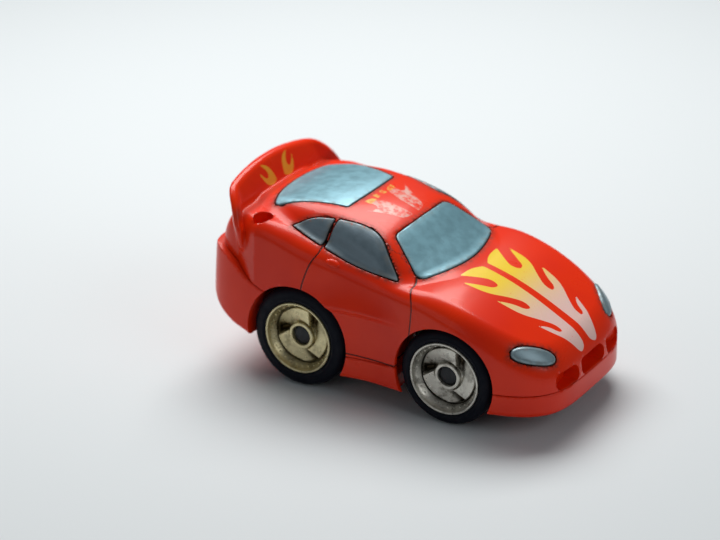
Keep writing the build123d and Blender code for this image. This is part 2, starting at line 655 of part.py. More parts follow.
def knuckle(side):
    """Steering knuckle: block on the kingpin, steering arm and its pin."""
    y = side * KINGPIN_Y
    block = box_part((FRONT_AXLE_X - 1.5, y - 1.2, 6.9), (FRONT_AXLE_X + 1.5, y + 1.2, 11.5))
    pin_x = FRONT_AXLE_X - STEER_ARM
    arm = box_part((pin_x, y - 0.8, 10.6), (FRONT_AXLE_X, y + 0.8, 11.5))
    end = rod_part((pin_x, y, 10.6), (0, 0, 1), 0.8, 0.9)
    pin = rod_part((pin_x, y, 10.6), (0, 0, 1), 0.5, 2.0)
    kingpin_bore = rod_part((FRONT_AXLE_X, y, 0), (0, 0, 1), KINGPIN_R + 0.06, 20)
    return cut(joined([block, arm, end, pin]), [kingpin_bore, stub_axle(side)])


def stub_axle(side):
    """Front stub axle, from beside the kingpin to its retaining head."""
    inner_y = side * (KINGPIN_Y + KINGPIN_R + 0.1)
    shaft = rod_part((FRONT_AXLE_X, inner_y, FRONT_TYRE_R), (0, side, 0), AXLE_R, 16.05 - abs(inner_y))
    head = rod_part((FRONT_AXLE_X, side * 16.05, FRONT_TYRE_R), (0, side, 0), 1.1, 0.35)
    return joined([shaft, head])


def make_tie_rod():
    """Bar between the steering arms, with a lug for each magnet."""
    x = FRONT_AXLE_X - STEER_ARM
    solids = [box_part((x - 0.8, -KINGPIN_Y, TIE_ROD_Z), (x + 0.8, KINGPIN_Y, TIE_ROD_Z + 0.8))]
    for side in (-1, 1):
        solids.append(rod_part((x, side * KINGPIN_Y, TIE_ROD_Z), (0, 0, 1), 1.1, 0.8))
        lug_low, lug_high = sorted((side * 5.7, side * 6.4))
        solids.append(box_part((x - 0.8, lug_low, TIE_ROD_Z), (x + 0.8, lug_high, COIL_Z + 1.2)))
    holes = [rod_part((x, side * KINGPIN_Y, 0), (0, 0, 1), 0.7, 30) for side in (-1, 1)]
    return cut(joined(solids), holes)


tie_rod = make_tie_rod()
tie_rod_x = FRONT_AXLE_X - STEER_ARM
steering_magnets = [rod_part((tie_rod_x, side * 4.5, COIL_Z), (0, side, 0), 1.8, 1.2) for side in (-1, 1)]
kingpins = [rod_part((FRONT_AXLE_X, side * KINGPIN_Y, FLOOR_Z), (0, 0, 1), KINGPIN_R, 8.9)
            for side in (-1, 1)]


def make_steering_plate():
    """Upper plate that holds the kingpins and carries the coil."""
    top = STEER_PLATE_Z + PLATE_T
    solids = [box_part((14.2, -6.4, STEER_PLATE_Z), (21.2, 6.4, top)),
              box_part((14.2, -KINGPIN_Y, STEER_PLATE_Z), (17.2, KINGPIN_Y, top))]
    tools = []
    for side in (-1, 1):
        solids.append(rod_part((FRONT_AXLE_X, side * KINGPIN_Y, STEER_PLATE_Z), (0, 0, 1), 1.4, PLATE_T))
        tools.append(rod_part((FRONT_AXLE_X, side * KINGPIN_Y, 0), (0, 0, 1), KINGPIN_R, 20))
    tools += [rod_part((x, y, 0), (0, 0, 1), 0.5, 20) for x, y in PLATE_POSTS]
    return cut(joined(solids), tools)


def make_bobbin():
    """Coil former across the car: core, two flanges and a foot on the steering plate."""
    core = y_rod(tie_rod_x, COIL_Z, -3.0, 3.0, 1.4)
    flanges = [y_rod(tie_rod_x, COIL_Z, 2.5, 3.0, 2.8), y_rod(tie_rod_x, COIL_Z, -3.0, -2.5, 2.8)]
    feet = []
    for y_low, y_high in ((2.5, 3.0), (-3.0, -2.5)):
        feet.append(box_part((tie_rod_x, y_low, 14.0), (15.6, y_high, COIL_Z + 1.0)))
    foot = box_part((14.2, -3.0, 14.0), (15.6, 3.0, 14.8))
    return cut(joined([core] + flanges + feet + [foot]), [y_rod(tie_rod_x, COIL_Z, -4, 4, 0.9)])


coil_bobbin = make_bobbin()
steering_coil = cut(y_rod(tie_rod_x, COIL_Z, -2.5, 2.5, 2.6), [y_rod(tie_rod_x, COIL_Z, -4, 4, 1.4)])
plate_screws = []
plate_top = STEER_PLATE_Z + PLATE_T
for x, y in PLATE_POSTS:
    head = rod_part((x, y, plate_top), (0, 0, 1), 1.0, 0.7)
    plate_screws.append(joined([head, rod_part((x, y, plate_top - 4), (0, 0, 1), 0.5, 4)]))

# ---------------------------------------------------------------- power, radio and switch
cell_z = FLOOR_TOP + CELL_R
battery = joined([y_rod(CELL_X, cell_z, -CELL_HALF, CELL_HALF - 0.6, CELL_R),
                  y_rod(CELL_X, cell_z, CELL_HALF - 0.6, CELL_HALF, 2.0)])
battery_contacts = []
for y_low, y_high in ((CELL_HALF, CELL_HALF + 0.35), (-CELL_HALF - 0.35, -CELL_HALF)):
    battery_contacts.append(box_part((CELL_X - 1.4, y_low, FLOOR_TOP), (CELL_X + 1.4, y_high, cell_z + 2)))
circuit_board = box_part((*BOARD_LOW, BOARD_Z), (*BOARD_HIGH, BOARD_Z + BOARD_T))
board_top = BOARD_Z + BOARD_T
board_parts = [box_part((-2.6, -6.4, board_top), (2.4, -1.4, board_top + 1.1)),
               box_part((4.6, -7.6, board_top), (7.6, -4.6, board_top + 1.0)),
               rod_part((-2.4, 6.4, board_top), (0, 0, 1), 1.5, 3.4),
               box_part((5.0, 4.0, board_top), (7.0, 5.2, board_top + 0.8)),
               box_part((5.0, 6.2, board_top), (7.0, 7.4, board_top + 0.8))]
radio_crystal = box_part((0.6, 1.2, board_top), (4.8, 3.2, board_top + 3.0))

SWITCH_TRAVEL = 1.6


def block_round(x, y, half_x, half_y, z_low, z_high):
    """Block centred on (x, y) between two heights."""
    return box_part((x - half_x, y - half_y, z_low), (x + half_x, y + half_y, z_high))


switch_body = cut(block_round(SWITCH_X, SWITCH_Y, 3.2, 1.8, FLOOR_TOP, FLOOR_TOP + 2.8),
                  [block_round(SWITCH_X, SWITCH_Y, 2.5, 1.1, FLOOR_TOP - 1, FLOOR_TOP + 1.8)])
knob_x = SWITCH_X - SWITCH_TRAVEL / 2
switch_slider = joined([block_round(knob_x, SWITCH_Y, 1.3, 0.9, FLOOR_TOP + 0.1, FLOOR_TOP + 1.5),
                        block_round(knob_x, SWITCH_Y, 0.7, 0.6, BASE_Z - 0.7, FLOOR_TOP + 0.1)])
charge_socket = cut(joined([rod_part((CHARGE_X, CHARGE_Y, BASE_Z), (0, 0, 1), CHARGE_NOSE_R, 3.0),
                            rod_part((CHARGE_X, CHARGE_Y, FLOOR_TOP), (0, 0, 1), 2.5, 4.2)]),
                    [rod_part((CHARGE_X, CHARGE_Y, 0), (0, 0, 1), CHARGE_BORE_R, BASE_Z + CHARGE_BORE_DEPTH)])

# ---------------------------------------------------------------- write every piece
pieces = {
    "body_shell": body_shell, "lower_body": lower_body, "windscreen": windscreen, "rear_window": rear_window,
    "chassis": chassis, "body_screws": joined(body_screws), "motor_can": motor_can,
    "motor_end_bell": motor_end_bell, "motor_magnets": motor_magnets, "motor_shaft": motor_shaft,
    "armature": armature, "pinion": pinion, "drive_gear": drive_gear, "motor_clamp": motor_clamp,
    "rear_axle": rear_axle, "axle_bushes": joined(both_sides(bush)), "tie_rod": tie_rod,
    "steering_magnets": joined(steering_magnets), "kingpins": joined(kingpins),
    "steering_plate": make_steering_plate(), "coil_bobbin": coil_bobbin, "steering_coil": steering_coil,
    "plate_screws": joined(plate_screws), "battery": battery, "battery_contacts": joined(battery_contacts),
    "circuit_board": circuit_board, "board_parts": joined(board_parts), "radio_crystal": radio_crystal,
    "switch_body": switch_body, "switch_slider": switch_slider, "charge_socket": charge_socket,
}
pieces.update(side_panes)
for side, word in ((-1, "right"), (1, "left")):
    pieces[f"knuckle_{word}"] = knuckle(side)
    pieces[f"stub_axle_{word}"] = stub_axle(side)
    front = (FRONT_AXLE_X, FRONT_TYRE_R, side)
    rear = (REAR_AXLE_X, REAR_TYRE_R, side)
    pieces[f"front_tyre_{word}"] = tyre(*front, FRONT_TYRE_R, FRONT_TYRE_W)
    pieces[f"rear_tyre_{word}"] = tyre(*rear, REAR_TYRE_R, REAR_TYRE_W)
    pieces[f"front_rim_{word}"] = rim(*front, FRONT_TYRE_W, STUB_BORE_R, 12.3)
    pieces[f"rear_rim_{word}"] = rim(*rear, REAR_TYRE_W, AXLE_R, 11.0)
    pieces[f"front_cap_{word}"] = cap(*front)
    pieces[f"rear_cap_{word}"] = cap(*rear)

for name, part in pieces.items():
    save(part, name)
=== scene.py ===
import math

import bpy
import numpy as np
from mathutils import Matrix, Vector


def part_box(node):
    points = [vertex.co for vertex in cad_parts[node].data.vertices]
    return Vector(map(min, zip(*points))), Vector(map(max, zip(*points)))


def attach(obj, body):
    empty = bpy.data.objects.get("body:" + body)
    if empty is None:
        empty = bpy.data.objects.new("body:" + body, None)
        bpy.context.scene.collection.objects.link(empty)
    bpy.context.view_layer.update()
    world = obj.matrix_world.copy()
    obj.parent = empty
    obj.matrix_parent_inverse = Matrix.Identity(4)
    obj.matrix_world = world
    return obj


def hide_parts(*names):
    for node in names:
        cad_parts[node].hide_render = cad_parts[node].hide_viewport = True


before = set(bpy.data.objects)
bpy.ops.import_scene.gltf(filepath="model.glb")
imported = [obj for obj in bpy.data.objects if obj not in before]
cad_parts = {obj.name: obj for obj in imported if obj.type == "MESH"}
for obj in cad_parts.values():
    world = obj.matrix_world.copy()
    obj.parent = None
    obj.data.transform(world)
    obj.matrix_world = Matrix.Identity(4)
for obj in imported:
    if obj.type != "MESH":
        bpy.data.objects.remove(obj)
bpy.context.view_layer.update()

# All body lines are in millimetres, +X to the nose, +Z up; meshes are made in metres.
MM = 0.001

# ---- places taken from the frame -------------------------------------------------


def centre(node):
    low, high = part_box(node)
    return [(low[k] + high[k]) / 2 / MM for k in range(3)]


FRONT_AXLE = centre("front_tyre_right")
REAR_AXLE = centre("rear_tyre_right")
WHEEL_FACE = -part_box("front_tyre_right")[0][1] / MM

# ---- body lines -------------------------------------------------------------------

NOSE_X, TAIL_X = 36.4, -36.9
NOSE_POWER, TAIL_POWER = 4.3, 6.8
CROWN_DROP = 0.32
CABIN_LEAN = 0.42
CABIN_MIDDLE_X, CABIN_HALF_LONG = -8.0, 26.0
WALL = 1.2
SEAM_GAP = 0.15
PANE_GAP = 0.22
PANE_DEPTH = 0.6
TAIL_RECESS = 1.5
BODY_TOP = [(-38.0, 24.0), (-35.0, 28.0), (-32.5, 30.0), (-29.0, 31.0), (-24.0, 31.2), (-19.0, 30.6),
            (-15.0, 29.6), (-10.0, 28.2), (-5.0, 26.7), (1.0, 25.3), (6.0, 24.6), (12.0, 24.4),
            (18.0, 23.0), (23.5, 20.9), (29.5, 17.9), (34.0, 15.4), (38.0, 13.0)]
BODY_HALF = [(-38.0, 19.0), (-24.0, 19.3), (-15.0, 19.6), (-1.0, 18.4), (14.0, 19.6), (22.0, 19.6),
             (38.0, 19.2)]
BODY_BOTTOM = [(-38.0, 17.0), (-34.0, 12.2), (-30.0, 9.6), (-26.0, 8.2), (-20.0, 4.4), (0.0, 4.3),
               (28.0, 4.3), (38.0, 4.3)]
SHOULDER = [(-38.0, 3.6), (-25.0, 2.8), (-14.0, 3.0), (-4.0, 2.4), (6.0, 2.4), (14.0, 3.2),
            (24.0, 3.8), (32.0, 4.2), (38.0, 4.0)]
CABIN_TOP = [(-38.0, 22.0), (-34.0, 27.0), (-31.0, 30.6), (-29.0, 31.9), (-24.0, 33.1), (-19.0, 33.9),
             (-14.0, 34.1), (-10.0, 33.7), (-5.0, 32.7), (0.4, 30.9), (6.0, 27.6), (11.7, 24.2),
             (16.0, 21.0), (22.0, 16.5)]
CABIN_HALF = [(-34.0, 11.0), (-29.0, 14.0), (-24.0, 16.4), (-18.0, 17.7), (-10.0, 17.9), (-3.0, 17.9),
              (3.0, 17.4), (8.0, 15.9), (12.0, 12.5), (16.0, 8.0)]
SEAM_LINE = [(-38.0, 24.3), (-34.0, 24.0), (-30.0, 22.3), (-26.2, 19.6), (-23.0, 18.3), (-20.0, 17.0),
             (-16.0, 9.65), (16.0, 9.65), (22.0, 8.8), (38.0, 8.8)]
WING_WALL = 1.7
WING_CROWN, WING_DROP = 36.6, 2.5
WING_REAR, WING_HALF = 31.0, 19.3
WING_CORNER, WING_TOP_ROUND = 5.6, 4.2
WING_FRONT_X, WING_FOOT_Z = -27.3, 24.5
FRONT_ARCH, REAR_ARCH = 10.0, 10.6
STEERING_WELL, WELL_INNER_Y, WELL_TOP = 11.3, 9.9, 19.2
ANTENNA_X, ANTENNA_Y, ANTENNA_R = -24.4, -14.9, 1.9
ANTENNA_FLOOR_Z = 25.2
LINING = 0.7
REAR_PAN_X = -21.2
HANDLE_X, HANDLE_Z = -7.9, 26.3


def curve(line, x):
    """A smooth line through the stations (x, value)."""
    px = np.array([p[0] for p in line], float)
    pv = np.array([p[1] for p in line], float)
    slope = np.empty(len(px))
    slope[1:-1] = (pv[2:] - pv[:-2]) / (px[2:] - px[:-2])
    slope[0] = (pv[1] - pv[0]) / (px[1] - px[0])
    slope[-1] = (pv[-1] - pv[-2]) / (px[-1] - px[-2])
    x = np.clip(x, px[0], px[-1])
    i = np.clip(np.searchsorted(px, x) - 1, 0, len(px) - 2)
    step = px[i + 1] - px[i]
    t = (x - px[i]) / step
    return ((2 * t**3 - 3 * t**2 + 1) * pv[i] + (t**3 - 2 * t**2 + t) * step * slope[i]
            + (3 * t**2 - 2 * t**3) * pv[i + 1] + (t**3 - t**2) * step * slope[i + 1])


def steepness(line, x):
    """How much a height above a sloping line shortens to a distance from it."""
    rise = curve(line, x + 0.5) - curve(line, x - 0.5)
    return 1 / np.sqrt(1 + rise * rise)


def both(a, b, r):
    """Where two forms meet, with the outer edge rounded to r."""
    return np.minimum(-r, np.maximum(a, b)) + np.hypot(np.maximum(a + r, 0), np.maximum(b + r, 0))


def either(a, b, r):
    """Two forms joined, with a fillet of r in the inner corner."""
    return np.maximum(r, np.minimum(a, b)) - np.hypot(np.maximum(r - a, 0), np.maximum(r - b, 0))


def round_box(dx, dy, r):
    """Rounded rectangle from its two side distances."""
    dx, dy = dx + r, dy + r
    return np.hypot(np.maximum(dx, 0), np.maximum(dy, 0)) + np.minimum(np.maximum(dx, dy), 0) - r


def plan(x, y, half, front_power, rear_power):
    """Distance outside a squared oval seen from above, with its own nose and tail."""
    power = np.where(x > 0, front_power, rear_power)
    reach = np.where(x > 0, NOSE_X, -TAIL_X)
    u = np.abs(x) / reach + 1e-6
    v = np.abs(y) / half + 1e-6
    g = (u**power + v**power) ** (1 / power)
    return (g - 1) / np.hypot((u / g) ** (power - 1) / reach, (v / g) ** (power - 1) / half)


def body_side(x, y, z):
    """Distance outside the flanks, nose and tail, which lean in above the wheels."""
    rise = np.clip((z - 11) / 12, 0, 1.6)
    return plan(x, y, curve(BODY_HALF, x), NOSE_POWER, TAIL_POWER) + 0.65 * rise**1.5


def body_form(x, y, z, tail_inset=0.0):
    side = body_side(x, y, z)
    if tail_inset:
        side = side + tail_inset * np.clip((-24.5 - x) / 4.5, 0, 1)
    crown = curve(BODY_TOP, x) - CROWN_DROP * np.clip((np.abs(y) - 8) / 10, 0, None) ** 2
    return both(side, (z - crown) * steepness(BODY_TOP, x), curve(SHOULDER, x))


def cabin_form(x, y, z):
    side = (np.abs(y) - curve(CABIN_HALF, x) + CABIN_LEAN * (z - 21)) / math.hypot(1, CABIN_LEAN)
    bow = 1.4 * (y / 14) ** 2 * np.clip((x + 6) / 12, 0, 1)
    roof = curve(CABIN_TOP, x + bow) - 0.5 * (y / 10) ** 2
    top = (z - roof) * steepness(CABIN_TOP, x)
    form = both(both(side, top, 2.6), 18 - z, 0.5)
    return np.maximum(form, np.abs(x - CABIN_MIDDLE_X) - CABIN_HALF_LONG)


def wing_form(x, y, z):
    """A wall round the tail, leaning back, with fins that run forward on both sides."""
    rise = np.clip((z - 30) / 7, -1, 1.2)
    rear = WING_REAR + 2.0 * rise + 1.3 * np.clip(rise, 0, None) ** 2
    half = WING_HALF - 0.35 * np.clip(z - 29.5, 0, None)
    outer = round_box(-x - rear, np.abs(y) - half, WING_CORNER)
    wall = both(outer, -(outer + WING_WALL), 0.7)
    crown = z - (WING_CROWN - WING_DROP * (y / 17) ** 2)
    edge = (x - WING_FRONT_X + 0.42 * np.clip(z - 28.4, 0, None)) * 0.92
    shape = both(both(crown, np.abs(y) - half, WING_TOP_ROUND), edge, 1.8)
    return both(both(wall, shape, 0.7), WING_FOOT_Z - z, 0.5)


def outer_form(x, y, z, tail_inset=0.0):
    """Body, cabin and wing in one skin."""
    form = either(body_form(x, y, z, tail_inset), cabin_form(x, y, z), 1.3)
    return either(form, wing_form(x, y, z), 0.6)


# ---- outlines ---------------------------------------------------------------------


def outline(points):
    """Closed outline from corners (u, v, rounding); rounding 0 keeps a sharp corner."""
    line = []
    count = len(points)
    for k, (u, v, r) in enumerate(points):
        here = np.array((u, v), float)
        if r == 0:
            line.append(here)
            continue
        before = np.array(points[k - 1][:2], float)
        after = np.array(points[(k + 1) % count][:2], float)
        start = here + (before - here) * min(0.5, r / np.linalg.norm(before - here))
        end = here + (after - here) * min(0.5, r / np.linalg.norm(after - here))
        for t in np.linspace(0, 1, 7):
            line.append((1 - t) ** 2 * start + 2 * t * (1 - t) * here + t * t * end)
    return np.array(line)


def outline_distance(shape, u, v, reach=3.0):
    """Distance to the outline, negative inside it; far points only get a rough value."""
    low, high = shape.min(0), shape.max(0)
    away = np.maximum(np.maximum(low[0] - u, u - high[0]), np.maximum(low[1] - v, v - high[1]))
    result = np.maximum(away, 0) + 0.0
    near = np.flatnonzero(away < reach)
    for part in np.array_split(near, max(1, len(near) // 20000)):
        p = np.column_stack((u[part], v[part]))
        best = np.full(len(part), 1e9)
        inside = np.zeros(len(part), bool)
        for k in range(len(shape)):
            a, b = shape[k - 1], shape[k]
            side = b - a
            length = side @ side
            if length == 0:
                continue
            t = np.clip((p - a) @ side / length, 0, 1)
            gap = p - a - t[:, None] * side
            best = np.minimum(best, gap[:, 0] ** 2 + gap[:, 1] ** 2)
            cross = (a[1] > p[:, 1]) != (b[1] > p[:, 1])
            if a[1] != b[1]:
                edge_u = a[0] + (p[:, 1] - a[1]) * side[0] / side[1]
                inside ^= cross & (p[:, 0] < edge_u)
        best = np.sqrt(best)
        result[part] = np.where(inside, -best, best)
    return result


WINDSCREEN = outline([(0.3, -9.2, 1.2), (8.0, -13.5, 2.2), (10.2, -8.0, 5.0), (11.5, 0, 6.0),
                      (10.2, 8.0, 5.0), (8.0, 13.5, 2.2), (0.3, 9.2, 1.2), (0.7, 0, 6.0)])
REAR_WINDOW = outline([(-10.2, -8.2, 0.6), (-24.4, -11.2, 1.4), (-26.2, -6.0, 4.0), (-26.6, 0, 4.0),
                       (-26.2, 6.0, 4.0), (-24.4, 11.2, 1.4), (-10.2, 8.2, 0.6), (-9.7, 0, 5.0)])
# the side windows are laid out on a plane that leans in with the glass
GLASS_LEAN = math.radians(35)
DOOR_WINDOW = outline([(-9.8, 19.8, 0.5), (-5.2, 20.0, 2.5), (-1.2, 18.9, 2.5), (4.9, 11.3, 0.8),
                       (-3.6, 12.0, 4.0), (-10.7, 14.0, 0.5)])
QUARTER_WINDOW = outline([(-10.5, 19.7, 0.4), (-14.9, 19.1, 2.5), (-18.3, 16.6, 0.5), (-14.8, 15.3, 2.5),
                          (-11.4, 14.2, 0.4)])
DOOR = outline([(6.6, 25.8, 0.8), (9.3, 22.6, 1.5), (8.8, 15.5, 3.0), (8.2, 9.4, 0.4), (-12.6, 9.4, 0.4),
                (-14.2, 15.0, 2.0), (-13.9, 21.0, 2.0), (-12.3, 25.5, 2.0), (-11.0, 27.5, 0.0),
                (-10.6, 32.0, 0.0), (4.0, 31.0, 0.0)])
HOOD_FLAME = outline([(14.0, 0.8, 0.3), (35.0, 1.1, 0.7), (35.6, 3.2, 1.4), (33.6, 4.6, 1.5),
                      (31.6, 6.0, 1.0), (28.8, 7.3, 0.1), (29.9, 5.6, 1.2), (31.8, 4.7, 0.5),
                      (32.0, 3.7, 0.5), (30.4, 3.7, 1.0), (28.4, 5.2, 2.0), (25.4, 7.8, 2.0),
                      (21.0, 8.6, 0.1), (23.2, 6.6, 1.5), (25.4, 5.6, 0.8), (25.8, 4.2, 0.6),
                      (24.2, 3.9, 1.0), (22.2, 5.2, 2.0), (18.8, 8.2, 2.0), (14.0, 8.8, 0.1),
                      (16.8, 6.8, 1.5), (18.8, 5.6, 0.8), (19.1, 4.1, 0.7), (17.4, 3.5, 1.2),
                      (15.8, 4.4, 1.5), (12.6, 6.9, 0.1), (12.8, 3.2, 2.0)])
ROOF_FLAME = outline([(-0.6, 1.0, 0.3), (-1.0, 3.6, 0.8), (-3.6, 4.8, 1.2), (-7.2, 7.2, 0.1),
                      (-5.6, 4.8, 1.0), (-6.8, 4.0, 0.8), (-8.9, 4.9, 0.3), (-8.6, 2.6, 0.8),
                      (-5.2, 1.2, 1.2)])
ROOF_SQUARE = outline([(-8.9, 0.5, 0.1), (-8.9, 1.6, 0.1), (-7.7, 1.6, 0.1), (-7.7, 0.5, 0.1)])
WING_FLAME = outline([(5.8, 35.0, 0.1), (5.2, 33.3, 1.0), (4.2, 32.0, 0.8), (2.6, 31.9, 0.4),
                      (1.3, 32.3, 0.3), (1.9, 34.4, 1.2), (3.0, 35.5, 0.8), (4.6, 35.9, 0.1),
                      (3.5, 34.9, 0.5), (3.1, 34.0, 0.5), (3.4, 33.3, 0.3), (4.2, 33.3, 0.3),
                      (4.9, 34.0, 0.5)])
HEADLIGHT_X, HEADLIGHT_Y, HEADLIGHT_Z = 31.4, 13.7, 15.7
HEADLIGHT_LONG, HEADLIGHT_HIGH = 4.35, 1.65
GRILLE = [(-12.2, -5.4), (-4.4, 4.4), (5.4, 12.2)]
GRILLE_LOW, GRILLE_HIGH, GRILLE_DEPTH = 8.9, 12.0, 3.4


def side_outline(shape, x, y, z):
    """Distance to a side window's outline; only the flanks count."""
    rise = z * math.cos(GLASS_LEAN) - np.abs(y) * math.sin(GLASS_LEAN)
    return np.where((np.abs(y) > 6) & (z > 20), outline_distance(shape, x, rise), 3.0)


def top_outline(shape, x, y, z):
    return np.where(z > 20, outline_distance(shape, x, y), 3.0)


def pointing(direction, away_from=None):
    """A unit vector along the direction, square to another one if that is given."""
    direction = np.array(direction, float)
    if away_from is not None:
        direction -= away_from * (direction @ away_from)
    return direction / np.linalg.norm(direction)


HEADLIGHT_NORMAL = pointing((0.62, 0.50, 0.60))
HEADLIGHT_ALONG = pointing((0.69, -0.68, -0.25), HEADLIGHT_NORMAL)
HEADLIGHT_ACROSS = np.cross(HEADLIGHT_NORMAL, HEADLIGHT_ALONG)


def headlight_distance(x, y, z):
    """Distance from an oval that faces forwards, out and up on each front corner."""
    p = np.array((x - HEADLIGHT_X, np.abs(y) - HEADLIGHT_Y, z - HEADLIGHT_Z))
    u = np.abs(HEADLIGHT_ALONG @ p) / HEADLIGHT_LONG
    v = np.abs(HEADLIGHT_ACROSS @ p) / HEADLIGHT_HIGH
    g = (u**2.3 + v**2.3 + 1e-9) ** (1 / 2.3)
    oval = (g - 1) * HEADLIGHT_HIGH / np.sqrt(np.clip(v / g, 0, 1) ** 2
                                               + (HEADLIGHT_HIGH / HEADLIGHT_LONG) ** 2)
    return np.where(np.abs(HEADLIGHT_NORMAL @ p) < 4, oval, 3.0)


def pane_distance(x, y, z):
    """Distance to the nearest window or headlight outline, negative inside it."""
    sides = np.minimum(side_outline(DOOR_WINDOW, x, y, z), side_outline(QUARTER_WINDOW, x, y, z))
    tops = np.minimum(top_outline(WINDSCREEN, x, y, z), top_outline(REAR_WINDOW, x, y, z))
    return np.minimum(np.minimum(sides, tops), headlight_distance(x, y, z))


def grille_distance(x, y, z):
    best = np.full(len(x), 9.0)
    for low, high in GRILLE:
        slot = round_box(np.maximum(low - y, y - high), np.maximum(GRILLE_LOW - z, z - GRILLE_HIGH), 1.3)
        best = np.minimum(best, slot)
    return np.maximum(best, NOSE_X - GRILLE_DEPTH + 1.5 * (y / 12) ** 2 - x)


def wheel_wells(x, y, z, extra=0.0):
    """Room for the wheels, negative inside it."""
    front = np.hypot(x - FRONT_AXLE[0], z - FRONT_AXLE[2])
    rear = np.hypot(x - REAR_AXLE[0], z - REAR_AXLE[2])
    inner = WELL_INNER_Y - np.abs(y)
    arch = np.maximum(front - FRONT_ARCH - extra, inner)
    well = np.maximum(np.maximum(front - STEERING_WELL - extra, inner),
                      np.maximum(body_form(x, y, z) + 0.8, z - WELL_TOP))
    return np.minimum(np.minimum(arch, well), np.maximum(rear - REAR_ARCH - extra, inner))


def shell_form(x, y, z):
    """Upper body: a thin moulded skin over the seam, with recesses for panes and lamps."""
    outer = outer_form(x, y, z, TAIL_RECESS)
    hole = np.hypot(x - ANTENNA_X, y - ANTENNA_Y)
    slots = grille_distance(x, y, z)
    hollow = np.maximum(outer + WALL, -wheel_wells(x, y, z, LINING))
    hollow = np.maximum(hollow, -np.maximum(hole - ANTENNA_R - LINING, ANTENNA_FLOOR_Z - 0.6 - z))
    hollow = np.maximum(hollow, LINING - slots)
    form = np.maximum(outer, -hollow)
    pockets = np.maximum(pane_distance(x, y, z) - PANE_GAP, -PANE_DEPTH - outer)
    form = np.maximum(form, -pockets)
    form = np.maximum(form, -np.maximum(hole - ANTENNA_R, ANTENNA_FLOOR_Z - z))
    form = np.maximum(form, -slots)
    form = np.maximum(form, -wheel_wells(x, y, z))
    return np.maximum(form, curve(SEAM_LINE, x) + SEAM_GAP / 2 - z)


def lower_form(x, y, z):
    """Bumper, sills and front lip under the seam."""
    body = body_form(x, y, z)
    seam = z - curve(SEAM_LINE, x) + SEAM_GAP / 2
    body = both(body, seam, 0.35)
    closed = both(body, curve(BODY_BOTTOM, x) - z, 0.9)
    inner = body_form(x, y, z) + WALL
    open_floor = np.maximum(inner, REAR_PAN_X - x)
    hollow = np.minimum(np.maximum(closed + WALL, inner), open_floor)
    hollow = np.maximum(hollow, -wheel_wells(x, y, z, LINING))
    slots = grille_distance(x, y, z)
    hollow = np.maximum(hollow, LINING - slots)
    form = np.maximum(np.maximum(closed, -hollow), -wheel_wells(x, y, z))
    return np.maximum(form, -slots)


def pane_form(distance, proud, depth=0.5, edge=0.28):
    """A slab that follows the skin inside an outline and stands proud of it."""

    def form(x, y, z):
        outer = outer_form(x, y, z)
        face = both(distance(x, y, z), outer - proud, edge)
        return np.maximum(face, -(outer + depth))
    return form


def handle_form(x, y, z):
    """Small oval door handle standing proud of the door."""
    outer = outer_form(x, y, z)
    along = (x - HANDLE_X) * 0.97 - (z - HANDLE_Z) * 0.24
    across = (z - HANDLE_Z) * 0.97 + (x - HANDLE_X) * 0.24
    oval = np.hypot(along / 1.35, across / 0.5) - 1
    return np.maximum(both(oval * 0.45, outer - 0.3, 0.25), -(outer + 0.3))


# ---- meshes -----------------------------------------------------------------------


def slope(form, p, h=0.02):
    g = np.empty_like(p)
    for k in range(3):
        ahead, behind = p.copy(), p.copy()
        ahead[:, k] += h
        behind[:, k] -= h
        g[:, k] = (form(*ahead.T) - form(*behind.T)) / (2 * h)
    return g


def unit(v):
    return v / np.maximum(np.linalg.norm(v, axis=1, keepdims=True), 1e-9)


